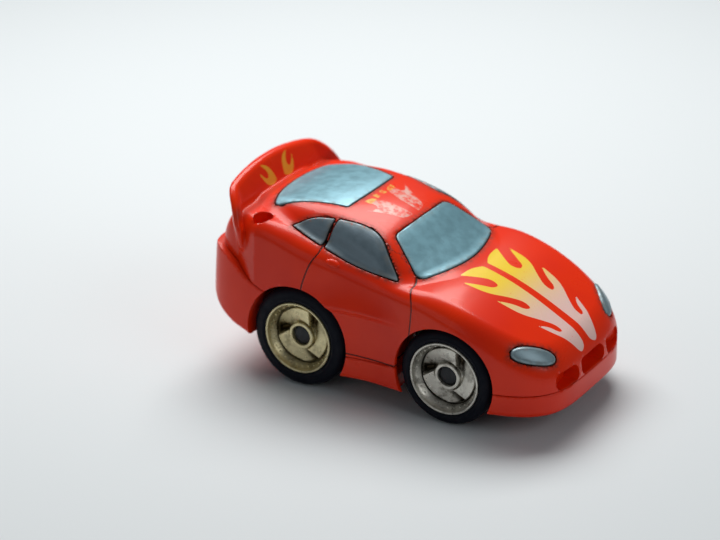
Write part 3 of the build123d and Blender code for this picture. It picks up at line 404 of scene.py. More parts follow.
def skin(form, low, high, cell):
    """Closed quad mesh on the surface of a form, sharp where the form is sharp."""
    low = np.array(low, float)
    count = np.ceil((np.array(high) - low) / cell).astype(int) + 1
    axes = [low[k] + cell * np.arange(count[k]) for k in range(3)]
    grid = np.meshgrid(*axes, indexing="ij")
    value = form(*[g.ravel() for g in grid]).reshape(count)
    inside = value < 0
    cells = count - 1
    total = int(np.prod(cells))
    sums = np.zeros((total, 13))
    quads = []
    for axis in range(3):
        other = [(axis + 1) % 3, (axis + 2) % 3]
        lo, hi = [slice(None)] * 3, [slice(None)] * 3
        lo[axis], hi[axis] = slice(0, -1), slice(1, None)
        start = np.argwhere(inside[tuple(lo)] != inside[tuple(hi)])
        for k in other:
            start = start[(start[:, k] > 0) & (start[:, k] < count[k] - 1)]
        end = start.copy()
        end[:, axis] += 1
        v0, v1 = value[tuple(start.T)], value[tuple(end.T)]
        t0, t1 = np.zeros(len(start)), np.ones(len(start))
        base = low + cell * start
        for _ in range(5):
            t = np.clip(t0 + (t1 - t0) * v0 / (v0 - v1), t0 + 0.02 * (t1 - t0), t1 - 0.02 * (t1 - t0))
            q = base.copy()
            q[:, axis] += cell * t
            vq = form(*q.T)
            same = (vq < 0) == (v0 < 0)
            t0, v0 = np.where(same, t, t0), np.where(same, vq, v0)
            t1, v1 = np.where(same, t1, t), np.where(same, v1, vq)
        p = base.copy()
        p[:, axis] += cell * (t0 + (t1 - t0) * v0 / (v0 - v1))
        n = unit(slope(form, p))
        d = np.sum(n * p, axis=1)
        rows = np.column_stack([n[:, 0] * n[:, 0], n[:, 0] * n[:, 1], n[:, 0] * n[:, 2],
                                n[:, 1] * n[:, 1], n[:, 1] * n[:, 2], n[:, 2] * n[:, 2],
                                n * d[:, None], p, np.ones(len(p))])
        ring = []
        for da, db in ((0, 0), (-1, 0), (-1, -1), (0, -1)):
            c = start.copy()
            c[:, other[0]] += da
            c[:, other[1]] += db
            flat = np.ravel_multi_index(c.T, cells)
            ring.append(flat)
            for k in range(13):
                sums[:, k] += np.bincount(flat, rows[:, k], total)
        ring = np.column_stack(ring)
        flip = ~inside[tuple(start.T)]
        ring[flip] = ring[flip][:, ::-1]
        quads.append(ring)
    used, faces = np.unique(np.concatenate(quads), return_inverse=True)
    faces = faces.reshape(-1, 4)
    s = sums[used]
    middle = s[:, 9:12] / s[:, 12:13]
    square = np.empty((len(used), 3, 3))
    square[:, 0, 0], square[:, 1, 1], square[:, 2, 2] = s[:, 0], s[:, 3], s[:, 5]
    square[:, 0, 1] = square[:, 1, 0] = s[:, 1]
    square[:, 0, 2] = square[:, 2, 0] = s[:, 2]
    square[:, 1, 2] = square[:, 2, 1] = s[:, 4]
    rest = s[:, 6:9] - np.einsum("nij,nj->ni", square, middle)
    w, turn = np.linalg.eigh(square)
    inverse = np.where(w > 0.08 * w[:, 2:3], 1 / np.maximum(w, 1e-9), 0)
    move = np.einsum("nij,nj,nkj,nk->ni", turn, inverse, turn, rest)
    corner = low + cell * np.column_stack(np.unravel_index(used, cells))
    points = np.clip(middle + move, corner - 0.2 * cell, corner + 1.2 * cell)
    for _ in range(2):
        g = slope(form, points)
        step = form(*points.T)[:, None] * g / np.maximum((g * g).sum(1, keepdims=True), 0.05)
        points = points - np.clip(step, -0.15 * cell, 0.15 * cell)
    return points, faces


def piece(name, points, faces, form, finish, body, stands_for=(), facts=None):
    """Puts a mesh made in millimetres into the scene, with normals read from its form."""
    mesh = bpy.data.meshes.new(name)
    mesh.from_pydata((points * MM).tolist(), [], np.asarray(faces).tolist())
    mesh.materials.append(finish)
    mesh.polygons.foreach_set("use_smooth", [True] * len(mesh.polygons))
    for key, values in (facts or {}).items():
        mesh.attributes.new(key, "FLOAT", "POINT").data.foreach_set("value", values.astype(np.float32))
    mesh.update()
    if form is not None:
        flat = np.empty(len(mesh.polygons) * 3)
        mesh.polygons.foreach_get("normal", flat)
        flat = np.repeat(flat.reshape(-1, 3), np.asarray(faces).shape[1], axis=0)
        corner = np.asarray(faces).ravel()
        smooth = unit(slope(form, points))[corner]
        agree = (smooth * flat).sum(1) > 0.85
        mesh.normals_split_custom_set(np.where(agree[:, None], smooth, flat).tolist())
    thing = bpy.data.objects.new(name, mesh)
    bpy.context.scene.collection.objects.link(thing)
    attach(thing, body)
    if stands_for:
        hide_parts(*stands_for)
    return thing


def mirrored(points, faces):
    other = points.copy()
    other[:, 1] *= -1
    return other, np.asarray(faces)[:, ::-1]


# ---- finishes ---------------------------------------------------------------------


class Finish:
    """A material with short calls for the nodes it is built from."""

    def __init__(self, name, **values):
        self.material = bpy.data.materials.new(name)
        self.material.use_nodes = True
        self.tree = self.material.node_tree
        self.shader = self.tree.nodes["Principled BSDF"]
        self.place = self.tree.nodes.new("ShaderNodeTexCoord").outputs["Object"]
        for key, value in values.items():
            self.shader.inputs[key.replace("_", " ")].default_value = value

    def feed(self, socket, value):
        if isinstance(value, bpy.types.NodeSocket):
            self.tree.links.new(value, socket)
        else:
            socket.default_value = value

    def noise(self, per_mm, detail=3.0, roughness=0.55, stretch=None):
        n = self.tree.nodes.new("ShaderNodeTexNoise")
        n.inputs["Scale"].default_value = per_mm / MM
        n.inputs["Detail"].default_value = detail
        n.inputs["Roughness"].default_value = roughness
        place = self.place
        if stretch:
            m = self.tree.nodes.new("ShaderNodeMapping")
            m.inputs["Scale"].default_value = stretch
            m.inputs["Rotation"].default_value = (0.0, 0.4, 0.7)
            self.feed(m.inputs["Vector"], place)
            place = m.outputs[0]
        self.feed(n.inputs["Vector"], place)
        return n.outputs["Fac"]

    def span(self, value, low, high, start=0.0, end=1.0):
        n = self.tree.nodes.new("ShaderNodeMapRange")
        n.interpolation_type = "SMOOTHSTEP"
        for key, v in zip(("Value", "From Min", "From Max", "To Min", "To Max"),
                          (value, low, high, start, end)):
            self.feed(n.inputs[key], v)
        return n.outputs["Result"]

    def sum(self, operation, a, b=0.0):
        n = self.tree.nodes.new("ShaderNodeMath")
        n.operation = operation
        self.feed(n.inputs[0], a)
        self.feed(n.inputs[1], b)
        return n.outputs[0]

    def blend(self, amount, a, b):
        n = self.tree.nodes.new("ShaderNodeMix")
        n.data_type = "RGBA"
        self.feed(n.inputs[0], amount)
        self.feed(n.inputs[6], a if isinstance(a, bpy.types.NodeSocket) else (*a, 1.0))
        self.feed(n.inputs[7], b if isinstance(b, bpy.types.NodeSocket) else (*b, 1.0))
        return n.outputs[2]

    def fact(self, name):
        n = self.tree.nodes.new("ShaderNodeAttribute")
        n.attribute_name = name
        return n.outputs["Fac"]

    def along(self, axis):
        n = self.tree.nodes.new("ShaderNodeSeparateXYZ")
        self.feed(n.inputs[0], self.place)
        return n.outputs[axis]

    def colour(self, value):
        self.feed(self.shader.inputs["Base Color"], value)

    def rough(self, value):
        self.feed(self.shader.inputs["Roughness"], value)

    def relief(self, height, depth_mm, strength=0.6):
        n = self.tree.nodes.new("ShaderNodeBump")
        n.inputs["Strength"].default_value = strength
        n.inputs["Distance"].default_value = depth_mm * MM
        self.feed(n.inputs["Height"], height)
        self.feed(self.shader.inputs["Normal"], n.outputs[0])


def orange_red_moulding(name="orange_red_moulding", decorated=True):
    """Gloss plastic with grime and painted shade round the panes and in its corners, dark door lines and
    worn flame prints.
    """
    f = Finish(name, Specular_IOR_Level=0.17, Coat_Weight=0.22, Coat_Roughness=0.12, Subsurface_Weight=0.05,
               Subsurface_Radius=(0.9 * MM, 0.22 * MM, 0.08 * MM), Subsurface_Scale=1.0)
    patch = f.noise(0.08, 2.0)
    fine = f.noise(2.5, 2.0)
    base = f.blend(f.span(patch, 0.35, 0.7), (0.84, 0.030, 0.002), (0.77, 0.023, 0.002))
    worn = f.noise(1.1, 6.0, 0.7)
    if decorated:
        inside = f.span(f.fact("print_edge"), -0.03, 0.05, 1.0, 0.0)
        chips = f.span(f.noise(1.6, 5.0, 0.75), 0.66, 0.69, 1.0, 0.0)
        length = f.along(0)
        hood = f.blend(f.span(length, 17 * MM, 30 * MM), (0.90, 0.62, 0.03), (0.82, 0.55, 0.50))
        roof = f.blend(f.span(length, -7.6 * MM, -7.5 * MM), (0.80, 0.55, 0.10), (0.78, 0.42, 0.36))
        print_colour = f.blend(f.span(length, 5 * MM, 6 * MM), roof, hood)
        print_colour = f.blend(f.span(length, -27 * MM, -26 * MM), (0.86, 0.36, 0.03), print_colour)
        on_roof = f.sum("MULTIPLY", f.span(length, -12 * MM, -11 * MM),
                        f.span(length, 3 * MM, 4 * MM, 1.0, 0.0))
        fade = f.sum("MULTIPLY", on_roof, f.span(f.noise(0.9, 5.0, 0.7), 0.40, 0.62))
        amount = f.sum("MULTIPLY", inside, chips)
        amount = f.sum("MULTIPLY", amount, f.sum("SUBTRACT", 1.0, fade))
        base = f.blend(amount, base, print_colour)
        # darker round the panes: patchy grime within about 1.7 mm of the pane outlines, and painted shade
        # in the gap round each pane
        near = f.span(f.fact("pane_edge"), 0.15, 1.7, 1.0, 0.0)
        grime_and_painted_shade = f.sum("MULTIPLY", f.sum("MULTIPLY", near, near), f.span(worn, 0.3, 0.65))
        gap = f.span(f.fact("pane_edge"), 0.02, 0.26, 1.0, 0.0)
        grime_and_painted_shade = f.sum("MAXIMUM", f.sum("MULTIPLY", grime_and_painted_shade, 0.75), gap)
        # painted shade from the recess value: darker in the corner between deck and wing and along the seam
        recess_shade = f.span(f.fact("painted_recess_shade"), 0.0, 1.0)
        grime_and_painted_shade = f.sum("MAXIMUM", grime_and_painted_shade, f.sum("MULTIPLY", recess_shade, 0.5))
        line = f.span(f.sum("ABSOLUTE", f.fact("door_line")), 0.06, 0.15, 1.0, 0.0)
        # the dark colour stands for grime and painted shade together
        base = f.blend(grime_and_painted_shade, base, (0.075, 0.028, 0.018))
        base = f.blend(line, base, (0.05, 0.008, 0.006))
        groove = f.span(f.sum("ABSOLUTE", f.fact("door_line")), 0.0, 0.28)
        f.relief(f.sum("ADD", groove, f.sum("MULTIPLY", fine, 0.006)), 0.22, 0.9)
        f.rough(f.sum("ADD", f.span(patch, 0.3, 0.75, 0.27, 0.32), f.sum("MULTIPLY", grime_and_painted_shade, 0.35)))
    else:
        f.relief(fine, 0.004, 0.4)
        f.rough(f.span(patch, 0.3, 0.75, 0.27, 0.32))
    f.colour(base)
    return f.material


def blue_grey_pane(name, light, chips_at):
    """Metallic paint on raised panes, scratched, with the red plastic showing in chips and painted shade
    along the outermost edge.
    """
    f = Finish(name, Metallic=0.45, Coat_Weight=0.25, Coat_Roughness=0.25)
    mottle = f.noise(0.5, 5.0, 0.65)
    base = f.blend(f.span(mottle, 0.3, 0.7), tuple(0.88 * c for c in light), light)
    lengthways = f.span(f.noise(0.25, 8.0, 0.8, (1.0, 9.0, 1.0)), 0.655, 0.68)
    crossways = f.span(f.noise(0.3, 8.0, 0.8, (8.0, 1.0, 2.0)), 0.66, 0.69)
    marks = f.sum("MULTIPLY", f.sum("MAXIMUM", lengthways, crossways), 0.75)
    base = f.blend(marks, base, (0.05, 0.065, 0.075))
    edge = f.fact("rim")
    bare = f.sum("MULTIPLY", f.span(f.noise(1.1, 6.0, 0.7), 0.60, 0.63), f.span(edge, -0.9, -0.3))
    bare = f.sum("MULTIPLY", bare, f.span(f.along(2), chips_at * MM, (chips_at + 1.2) * MM))
    base = f.blend(bare, base, (0.55, 0.035, 0.015))
    dusty = f.sum("MULTIPLY", f.span(edge, -1.4, 0.0), f.span(f.noise(0.8, 4.0), 0.35, 0.7))
    base = f.blend(f.sum("MULTIPLY", dusty, 0.6), base, (0.16, 0.14, 0.11))
    # painted shade: near black along the pane's outermost edge, where it drops into the gap
    base = f.blend(f.span(edge, -0.12, 0.02), base, (0.035, 0.03, 0.025))
    f.colour(base)
    f.rough(f.sum("ADD", f.span(mottle, 0.3, 0.7, 0.33, 0.42), f.sum("MULTIPLY", dusty, 0.3)))
    f.relief(f.sum("ADD", f.noise(3.0, 3.0), f.sum("MULTIPLY", marks, -1.5)), 0.012, 0.5)
    return f.material


def tyre_rubber():
    f = Finish("navy_black_rubber", Specular_IOR_Level=0.14)
    dust = f.span(f.noise(0.35, 6.0, 0.7), 0.45, 0.8)
    f.colour(f.blend(f.sum("MULTIPLY", dust, 0.35), (0.0030, 0.0040, 0.0095), (0.014, 0.014, 0.018)))
    f.rough(f.span(f.noise(0.8, 4.0), 0.3, 0.7, 0.5, 0.68))
    f.relief(f.noise(5.0, 3.0), 0.01, 0.5)
    return f.material


def vacuum_plate(name, bright, stain_and_shade, amount):
    """Thin metal plating over plastic, going brown where it has rubbed, with painted shade darkening its
    hollows.
    """
    f = Finish(name, Metallic=0.85)
    wear = f.span(f.noise(0.5, 6.0, 0.7), 0.46, 0.72)
    # painted shade: the recess value pulls the hollows towards the dark colour
    low = f.fact("painted_recess_shade")
    wear_and_recess_shade = f.sum("MINIMUM", f.sum("ADD", f.sum("MULTIPLY", wear, amount), low), 1.0)
    f.colour(f.blend(wear_and_recess_shade, bright, stain_and_shade))
    f.rough(f.span(f.noise(1.2, 4.0), 0.3, 0.7, 0.26, 0.4))
    f.relief(f.noise(3.5, 4.0), 0.014, 0.5)
    return f.material


def plain(name, colour, roughness, metallic=0.0, grain=2.0, depth=0.01, **more):
    """Moulded, turned or rolled stock: slight colour change, grain and a fine relief."""
    f = Finish(name, Metallic=metallic, **more)
    change = f.span(f.noise(0.3, 3.0), 0.3, 0.7)
    f.colour(f.blend(change, tuple(0.82 * c for c in colour), colour))
    f.rough(f.span(f.noise(grain, 3.0), 0.3, 0.7, roughness * 0.85, min(1.0, roughness * 1.15)))
    f.relief(f.noise(grain, 4.0), depth, 0.4)
    return f.material


RED = orange_red_moulding()
RED_PLAIN = orange_red_moulding("orange_red_trim", decorated=False)
PANE = blue_grey_pane("blue_grey_pane_paint", (0.21, 0.42, 0.50), 36.0)
# the side panes take a darker copy of the same blue-grey paint: painted shade on the side-facing panes
SHADED_SIDE_PANE = blue_grey_pane("blue_grey_paint_shaded_side", (0.15, 0.21, 0.25), 30.8)
LAMP = blue_grey_pane("silver_blue_lamp_paint", (0.24, 0.34, 0.38), 15.6)
RUBBER = tyre_rubber()
SILVER = vacuum_plate("silver_plating", (0.66, 0.63, 0.56), (0.05, 0.036, 0.02), 0.6)
GOLD = vacuum_plate("pale_gold_plating", (0.70, 0.61, 0.36), (0.07, 0.045, 0.015), 0.55)
CAP = plain("black_cap_moulding", (0.006, 0.007, 0.011), 0.5)
STOCK = {
    "red_shell": RED_PLAIN,
    "blue_grey_paint": PANE,
    "black_rubber": RUBBER,
    "silver_plate": SILVER,
    "gold_plate": GOLD,
    "black_plastic": plain("black_moulding", (0.018, 0.018, 0.020), 0.45),
    "white_plastic": plain("white_nylon", (0.72, 0.71, 0.66), 0.4),
    "brass": plain("brass_stock", (0.75, 0.52, 0.20), 0.28, 1.0),
    "steel": plain("steel_stock", (0.56, 0.57, 0.59), 0.27, 1.0),
    "copper_wire": plain("enamelled_copper", (0.72, 0.28, 0.12), 0.33, 1.0, 6.0),
    "cell_sleeve": plain("green_cell_sleeve", (0.05, 0.22, 0.12), 0.35),
    "green_board": plain("green_lacquered_board", (0.02, 0.16, 0.07), 0.4),
}
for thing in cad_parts.values():
    for place in thing.material_slots:
        if place.material:
            place.material = STOCK.get(place.material.name.split(".")[0], STOCK["black_plastic"])

# ---- body -------------------------------------------------------------------------

SKIN_CELL = 0.44


def flame_print(points, outward):
    """Distance to the nearest printed flame, negative on the print."""
    x, y, z = points.T
    side = np.abs(y)
    on_top = outward[:, 2] > 0.3
    hood = outline_distance(HOOD_FLAME, x, side)
    roof = np.minimum(outline_distance(ROOF_FLAME, x, side), outline_distance(ROOF_SQUARE, x, side))
    top = np.where(on_top, np.minimum(hood, roof), 2.0)
    wing = np.minimum(outline_distance(WING_FLAME, -y, z), outline_distance(WING_FLAME, y, z))
    wing = np.where((x < -28.4) & (outward[:, 0] > 0.15), wing, 2.0)
    return np.clip(np.minimum(top, wing), -1.0, 1.5)


points, faces = skin(shell_form, (-38, -21, 8), (38, 21, 38), SKIN_CELL)
x, y, z = points.T
outward = unit(slope(outer_form, points))
depth = np.abs(outer_form(x, y, z))
# painted shade: darker in the corner between the deck and the wing
corner_shade = np.exp(-(((x + 28.3) / 1.2) ** 2) - ((z - 31.4) / 1.6) ** 2)
piece("upper_shell", points, faces, shell_form, RED, "car", ("body_shell",), {
    "print_edge": np.where(depth < 0.3, flame_print(points, outward), 1.5),
    "pane_edge": np.clip(pane_distance(x, y, z), -1.0, 3.0),
    "door_line": np.where(np.abs(y) > 12, outline_distance(DOOR, x, z), 1.0).clip(-1.0, 1.0),
    "painted_recess_shade": np.clip(0.8 * corner_shade, 0, 1)})

points, faces = skin(lower_form, (-38, -21, 3), (38, 21, 26), SKIN_CELL)
x, y, z = points.T
# the recess value darkens the skin along the seam: painted shade between the bumper and the upper shell
piece("bumper_and_sills", points, faces, lower_form, RED, "car", ("lower_body",), {
    "print_edge": np.full(len(points), 1.5), "pane_edge": np.full(len(points), 3.0),
    "door_line": np.full(len(points), 1.0),
    "painted_recess_shade": 0.6 * np.exp(-((z - curve(SEAM_LINE, x)) / 0.25) ** 2)})


def pane(name, node, distance, proud, low, high, finish, both_sides=False, cell=0.22, edge=0.28):
    """A raised pane inside its outline, or a pair of them, mirrored."""
    form = pane_form(distance, proud, edge=edge)
    points, faces = skin(form, low, high, cell * (1.0))
    sides = (("right", points, faces), ("left", *mirrored(points, faces))) if both_sides \
        else ((None, points, faces),)
    for side, p, q in sides:
        full = f"{node}_{side}" if side else node
        piece(f"{name}_{side}" if side else name, p, q, form, finish, "car",
              (full,), {"rim": np.clip(distance(*p.T), -2.0, 0.5)})


pane("windscreen_pane", "windscreen", lambda x, y, z: top_outline(WINDSCREEN, x, y, z), 0.12,
     (-1, -14.5, 21.5), (12.5, 14.5, 32.5), PANE)
pane("rear_window_pane", "rear_window", lambda x, y, z: top_outline(REAR_WINDOW, x, y, z), 0.12,
     (-28, -12.5, 28.5), (-8.5, 12.5, 35), PANE)
pane("door_window_pane", "door_window", lambda x, y, z: side_outline(DOOR_WINDOW, x, y, z), 0.14,
     (-12, -18, 23), (6, -8, 33), SHADED_SIDE_PANE, True, 0.2)
pane("quarter_window_pane", "quarter_window", lambda x, y, z: side_outline(QUARTER_WINDOW, x, y, z),
     0.14, (-19, -18, 26.5), (-9.5, -8, 33), SHADED_SIDE_PANE, True, 0.2)
pane("headlight_lens", "headlight", headlight_distance, 0.35,
     (25, -20, 10.5), (37, -8, 20.5), LAMP, True, 0.2, 0.7)
points, faces = skin(handle_form, (-10, -19, 25), (-6, -14, 27.6), 0.12)
for side, (p, q) in (("right", (points, faces)), ("left", mirrored(points, faces))):
    piece(f"door_handle_{side}", p, q, handle_form, RED_PLAIN, "car")

# ---- wheels -----------------------------------------------------------------------

TURNS = 216


def spun(profile, face_offset=None):
    """Closed ring from a profile (radius, depth from the wheel face), outer side first."""
    profile = np.array(profile, float)
    around = np.linspace(0, 2 * math.pi, TURNS, endpoint=False)
    radius = np.repeat(profile[None, :, 0], TURNS, 0)
    depth = np.repeat(profile[None, :, 1], TURNS, 0)
    if face_offset is not None:
        depth = depth + face_offset(radius, around[:, None])
    points = np.stack((radius * np.cos(around[:, None]), depth, radius * np.sin(around[:, None])), 2)
    rows = len(profile)
    i, j = np.meshgrid(np.arange(TURNS), np.arange(rows), indexing="ij")
    k, m = (i + 1) % TURNS, (j + 1) % rows
    faces = np.stack((i * rows + j, k * rows + j, k * rows + m, i * rows + m), 2).reshape(-1, 4)
    points = points.reshape(-1, 3)
    a, b, c, d = (points[faces[:, n]] for n in range(4))
    volume = (a * np.cross(b, c)).sum() + (a * np.cross(c, d)).sum()
    return points, faces if volume > 0 else faces[:, ::-1]


def on_wheel(points, axle, side):
    """Moves points from the wheel's own place to the car; side is -1 right, +1 left."""
    moved = points.copy()
    moved[:, 1] = side * (WHEEL_FACE - points[:, 1])
    moved[:, 0] += axle[0]
    moved[:, 2] += axle[2]
    return moved


def outward_faces(points, faces):
    a, b, c = (points[faces[:, n]] - points.mean(0) for n in range(3))
    volume = (a * np.cross(b, c)).sum()
    if faces.shape[1] == 4:
        volume += (a * np.cross(c, points[faces[:, 3]] - points.mean(0))).sum()
    return faces if volume > 0 else faces[:, ::-1]


BLADES = 3
BLADE_DROP, BLADE_LEAD_R, BLADE_STEP = 1.15, 1.9, 0.035
WEB_IN, WEB_OUT = 2.66, 5.45


def blade_relief(radius, around):
    """Three turbine blades: each starts proud at its straight leading edge and sinks away."""
    inside = np.clip((radius - WEB_IN) / 0.15, 0, 1) * np.clip((WEB_OUT - radius) / 0.15, 0, 1)
    lead = np.arccos(np.clip(BLADE_LEAD_R / np.maximum(radius, BLADE_LEAD_R + 0.05), -1, 1))
    turn = ((around - lead) * BLADES / (2 * math.pi)) % 1.0
    step = np.clip(turn / BLADE_STEP, 0, 1)
    fall = BLADE_DROP * turn**1.6
    hollow = 0.55 * np.exp(-((turn - 0.93) / 0.06) ** 2) * np.clip((radius - 3.0) / 0.6, 0, 1)
    return inside * ((fall + hollow) * step + (1 - step) * BLADE_DROP - 0.55)


def rim_profile(width):
    web = [(r, 2.15) for r in np.linspace(WEB_IN, WEB_OUT, 26)]
    return ([(0.8, 2.4), (1.88, 2.4), (1.9, 1.45), (2.0, 1.28), (2.45, 1.28), (2.56, 1.4), (2.6, 2.1)]
            + web + [(5.5, 2.75), (5.62, 2.75), (5.68, 1.75), (5.78, 1.62), (6.0, 1.28), (6.25, 0.9),
                     (6.42, 0.62), (6.5, 0.3), (6.58, 0.08), (6.7, 0.0), (6.86, 0.0), (6.97, 0.08),
                     (7.0, 0.25), (7.0, 0.75), (6.75, 1.0), (6.62, 1.4), (6.6, width - 0.6),
                     (6.9, width - 0.3), (6.9, width), (5.9, width), (5.9, 3.7), (2.5, 3.7),
                     (2.3, 4.4), (0.8, 4.4)])


def tyre_profile(radius, width):
    """Smooth tread, round shoulders and a faint ring on the sidewall."""
    wall = [(7.02, 0.42), (7.2, 0.2), (7.5, 0.1), (7.62, 0.02), (7.74, 0.02), (7.86, 0.1)]
    shoulder = [(radius - 1.5 + 1.5 * math.sin(a), 1.55 - 1.42 * math.cos(a))
                for a in np.linspace(0.15, math.pi / 2, 9)]
    far = [(r, width - d) for r, d in reversed(shoulder)]
    tread = [(radius, 1.55 + (width - 3.1) * t) for t in (0.1, 0.5, 0.9)]
    back = [(7.6, width - 0.05), (7.1, width - 0.3), (6.72, width - 0.7), (6.62, width / 2), (6.7, 1.25),
            (6.98, 0.9)]
    return wall + shoulder + tread + far + back


def rivet_ring(count, ring_radius, rivet_radius, finish):
    """Small round-headed rivets spaced evenly round a ring, as a plain mesh."""
    tree = bpy.data.node_groups.new("rivet_ring", "GeometryNodeTree")
    for label, kind in (("Rivet Count", "NodeSocketInt"), ("Ring Radius", "NodeSocketFloat"),
                        ("Rivet Radius", "NodeSocketFloat"), ("Finish", "NodeSocketMaterial")):
        tree.interface.new_socket(label, in_out="INPUT", socket_type=kind)
    tree.interface.new_socket("Rivets", in_out="OUTPUT", socket_type="NodeSocketGeometry")
    start = tree.nodes.new("NodeGroupInput")
    end = tree.nodes.new("NodeGroupOutput")
    ring = tree.nodes.new("GeometryNodeMeshCircle")
    head = tree.nodes.new("GeometryNodeMeshUVSphere")
    head.inputs["Segments"].default_value = 10
    head.inputs["Rings"].default_value = 6
    place = tree.nodes.new("GeometryNodeInstanceOnPoints")
    solid = tree.nodes.new("GeometryNodeRealizeInstances")
    paint = tree.nodes.new("GeometryNodeSetMaterial")
    link = tree.links.new
    link(start.outputs["Rivet Count"], ring.inputs["Vertices"])
    link(start.outputs["Ring Radius"], ring.inputs["Radius"])
    link(start.outputs["Rivet Radius"], head.inputs["Radius"])
    link(ring.outputs["Mesh"], place.inputs["Points"])
    link(head.outputs["Mesh"], place.inputs["Instance"])
    link(place.outputs["Instances"], solid.inputs["Geometry"])
    link(solid.outputs["Geometry"], paint.inputs["Geometry"])
    link(start.outputs["Finish"], paint.inputs["Material"])
    link(paint.outputs["Geometry"], end.inputs["Rivets"])
    blank = bpy.data.objects.new("rivet_layout", bpy.data.meshes.new("rivet_layout"))
    bpy.context.scene.collection.objects.link(blank)
    layout = blank.modifiers.new("rivets", "NODES")
    layout.node_group = tree
    wanted = {"Rivet Count": count, "Ring Radius": ring_radius, "Rivet Radius": rivet_radius,
              "Finish": finish}
    for item in tree.interface.items_tree:
        if item.in_out == "INPUT":
            layout[item.identifier] = wanted[item.name]
    bpy.context.view_layer.update()
    made = bpy.data.meshes.new_from_object(blank.evaluated_get(bpy.context.evaluated_depsgraph_get()))
    points = np.empty(len(made.vertices) * 3)
    made.vertices.foreach_get("co", points)
    faces = [tuple(p.vertices) for p in made.polygons]
    bpy.data.objects.remove(blank)
    bpy.data.meshes.remove(made)
    return points.reshape(-1, 3), faces


def smooth_by_angle(thing, degrees):
    thing.data.set_sharp_from_angle(angle=math.radians(degrees))


def wheel_ring(name, profile, axle, side, finish, body, node, sharp, relief=None,
               recess_shade=None):
    """One spun piece of a wheel, in its place on the car."""
    points, faces = spun(profile, relief)
    facts = {"painted_recess_shade": recess_shade(points)} if recess_shade else None
    placed = on_wheel(points, axle, side)
    thing = piece(name, placed, outward_faces(placed, faces), None, finish, body, (node,),
                  facts)
    smooth_by_angle(thing, sharp)


def rim_hollow_shade(points):
    """Where painted shade sits: deep between the blades, and in the ring inside the rivets."""
    radius = np.hypot(points[:, 0], points[:, 2])
    between = np.clip((points[:, 1] - 1.9) / 1.0, 0, 1) * (radius < 5.7)
    return np.maximum(between, 0.45 * np.exp(-((radius - 5.75) / 0.12) ** 2))


def wheel_rivets(name, layout, axle, side, plating, body):
    points, faces = layout
    mesh = bpy.data.meshes.new(name)
    turned = [face[::-1] for face in faces] if side < 0 else faces
    mesh.from_pydata((on_wheel(points, axle, side) * MM).tolist(), [], turned)
    mesh.materials.append(plating)
    mesh.polygons.foreach_set("use_smooth", [True] * len(mesh.polygons))
    mesh.attributes.new("painted_recess_shade", "FLOAT", "POINT")
    thing = bpy.data.objects.new(name, mesh)
    bpy.context.scene.collection.objects.link(thing)
    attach(thing, body)


CAP_PROFILE = [(0.001, 1.62), (0.9, 1.66), (1.4, 1.74), (1.72, 1.86), (1.84, 2.0), (1.85, 2.3),
               (0.001, 2.3)]
RIVET_COUNT, RIVET_RING_R, RIVET_R, RIVET_DEPTH, RIVET_FLATNESS = 29, 6.08, 0.2, 1.12, 0.7
rivets, rivet_faces = rivet_ring(RIVET_COUNT, RIVET_RING_R, RIVET_R, SILVER)
rivets = np.column_stack((rivets[:, 0], RIVET_DEPTH + RIVET_FLATNESS * rivets[:, 2], rivets[:, 1]))
wheels = (("front", FRONT_AXLE, SILVER, "silver_plate"), ("rear", REAR_AXLE, GOLD, "gold_plate"))
for end, axle, plating, plating_slot in wheels:
    low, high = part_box(f"{end}_tyre_right")
    tyre_radius = (high[2] - low[2]) / 2 / MM
    tyre_width = (high[1] - low[1]) / MM
    for side_name, side in (("right", -1), ("left", 1)):
        body = f"front_wheel_{side_name}" if end == "front" else "rear_wheels"
        tag = f"{end}_{side_name}"
        wheel_ring(f"{tag}_tyre", tyre_profile(tyre_radius, tyre_width), axle, side, RUBBER, body,
                   f"{end}_tyre_{side_name}", 40)
        wheel_ring(f"{tag}_rim", rim_profile(tyre_width), axle, side, plating, body,
                   f"{end}_rim_{side_name}", 32, blade_relief, rim_hollow_shade)
        wheel_rivets(f"{tag}_rivets", (rivets, rivet_faces), axle, side, plating, body)
        wheel_ring(f"{tag}_cap", CAP_PROFILE, axle, side, CAP, body,
                   f"{end}_cap_{side_name}", 40)

# ---- floor, light and camera --------------------------------------------------------

TABLE_CORNERS = [(-4, -4, 0), (4, -4, 0), (4, 6, 0), (-4, 6, 0)]
CAMERA_PLACE = (0.2250, -0.3862, 0.2263)
CAMERA_TURN = Matrix(((0.85454, -0.20761, 0.47608), (0.51922, 0.36449, -0.77302),
                      (-0.01304, 0.90777, 0.41927)))
FOCUS_DISTANCE = 0.475

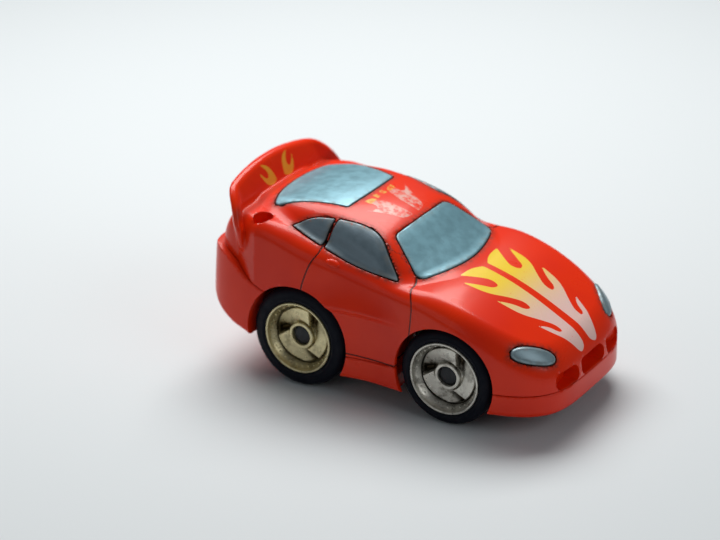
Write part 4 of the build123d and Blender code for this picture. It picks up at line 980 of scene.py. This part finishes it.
floor_mesh = bpy.data.meshes.new("table_top")
floor_mesh.from_pydata(TABLE_CORNERS, [], [(0, 1, 2, 3)])
table_finish = Finish("pale_table", Roughness=0.6)
table_finish.colour((0.66, 0.70, 0.72, 1.0))
floor_mesh.materials.append(table_finish.material)
table_top = bpy.data.objects.new("table_top", floor_mesh)
bpy.context.scene.collection.objects.link(table_top)


def softbox(name, place, aim, size, watts, colour):
    """A rectangular lamp that faces the point it is aimed at."""
    light = bpy.data.lights.new(name, "AREA")
    light.shape = "RECTANGLE"
    light.size, light.size_y = size
    light.energy = watts
    light.color = colour
    lamp = bpy.data.objects.new(name, light)
    lamp.location = place
    direction = np.array(aim, float) - np.array(place, float)
    back = -direction / np.linalg.norm(direction)
    right = np.cross((0, 0, 1), back)
    right /= np.linalg.norm(right)
    up = np.cross(back, right)
    lamp.rotation_euler = Matrix(np.column_stack((right, up, back)).tolist()).to_euler()
    bpy.context.scene.collection.objects.link(lamp)


softbox("overhead_softbox", (-0.13, 0.14, 0.32), (0, 0, 0.01), (0.34, 0.20), 1.75, (1.0, 0.99, 0.97))
softbox("side_softbox", (0.45, -0.05, 0.30), (0, 0, 0.02), (0.30, 0.30), 0.45, (0.95, 0.98, 1.0))
softbox("front_fill", (-0.15, -0.5, 0.25), (0, 0, 0.015), (0.4, 0.3), 0.16, (0.97, 0.99, 1.0))

world = bpy.data.worlds.new("pale_room")
world.use_nodes = True
world.node_tree.nodes["Background"].inputs["Color"].default_value = (0.84, 0.90, 0.95, 1.0)
world.node_tree.nodes["Background"].inputs["Strength"].default_value = 0.11
bpy.context.scene.world = world

lens = bpy.data.cameras.new("camera")
lens.lens = 132.7
lens.sensor_width = 36.0
lens.clip_start = 0.01
lens.dof.use_dof = True
lens.dof.focus_distance = FOCUS_DISTANCE
lens.dof.aperture_fstop = 18.0
camera = bpy.data.objects.new("camera", lens)
camera.location = CAMERA_PLACE
camera.rotation_euler = CAMERA_TURN.to_euler()
bpy.context.scene.collection.objects.link(camera)
bpy.context.scene.camera = camera
bpy.context.scene.view_settings.view_transform = "Standard"
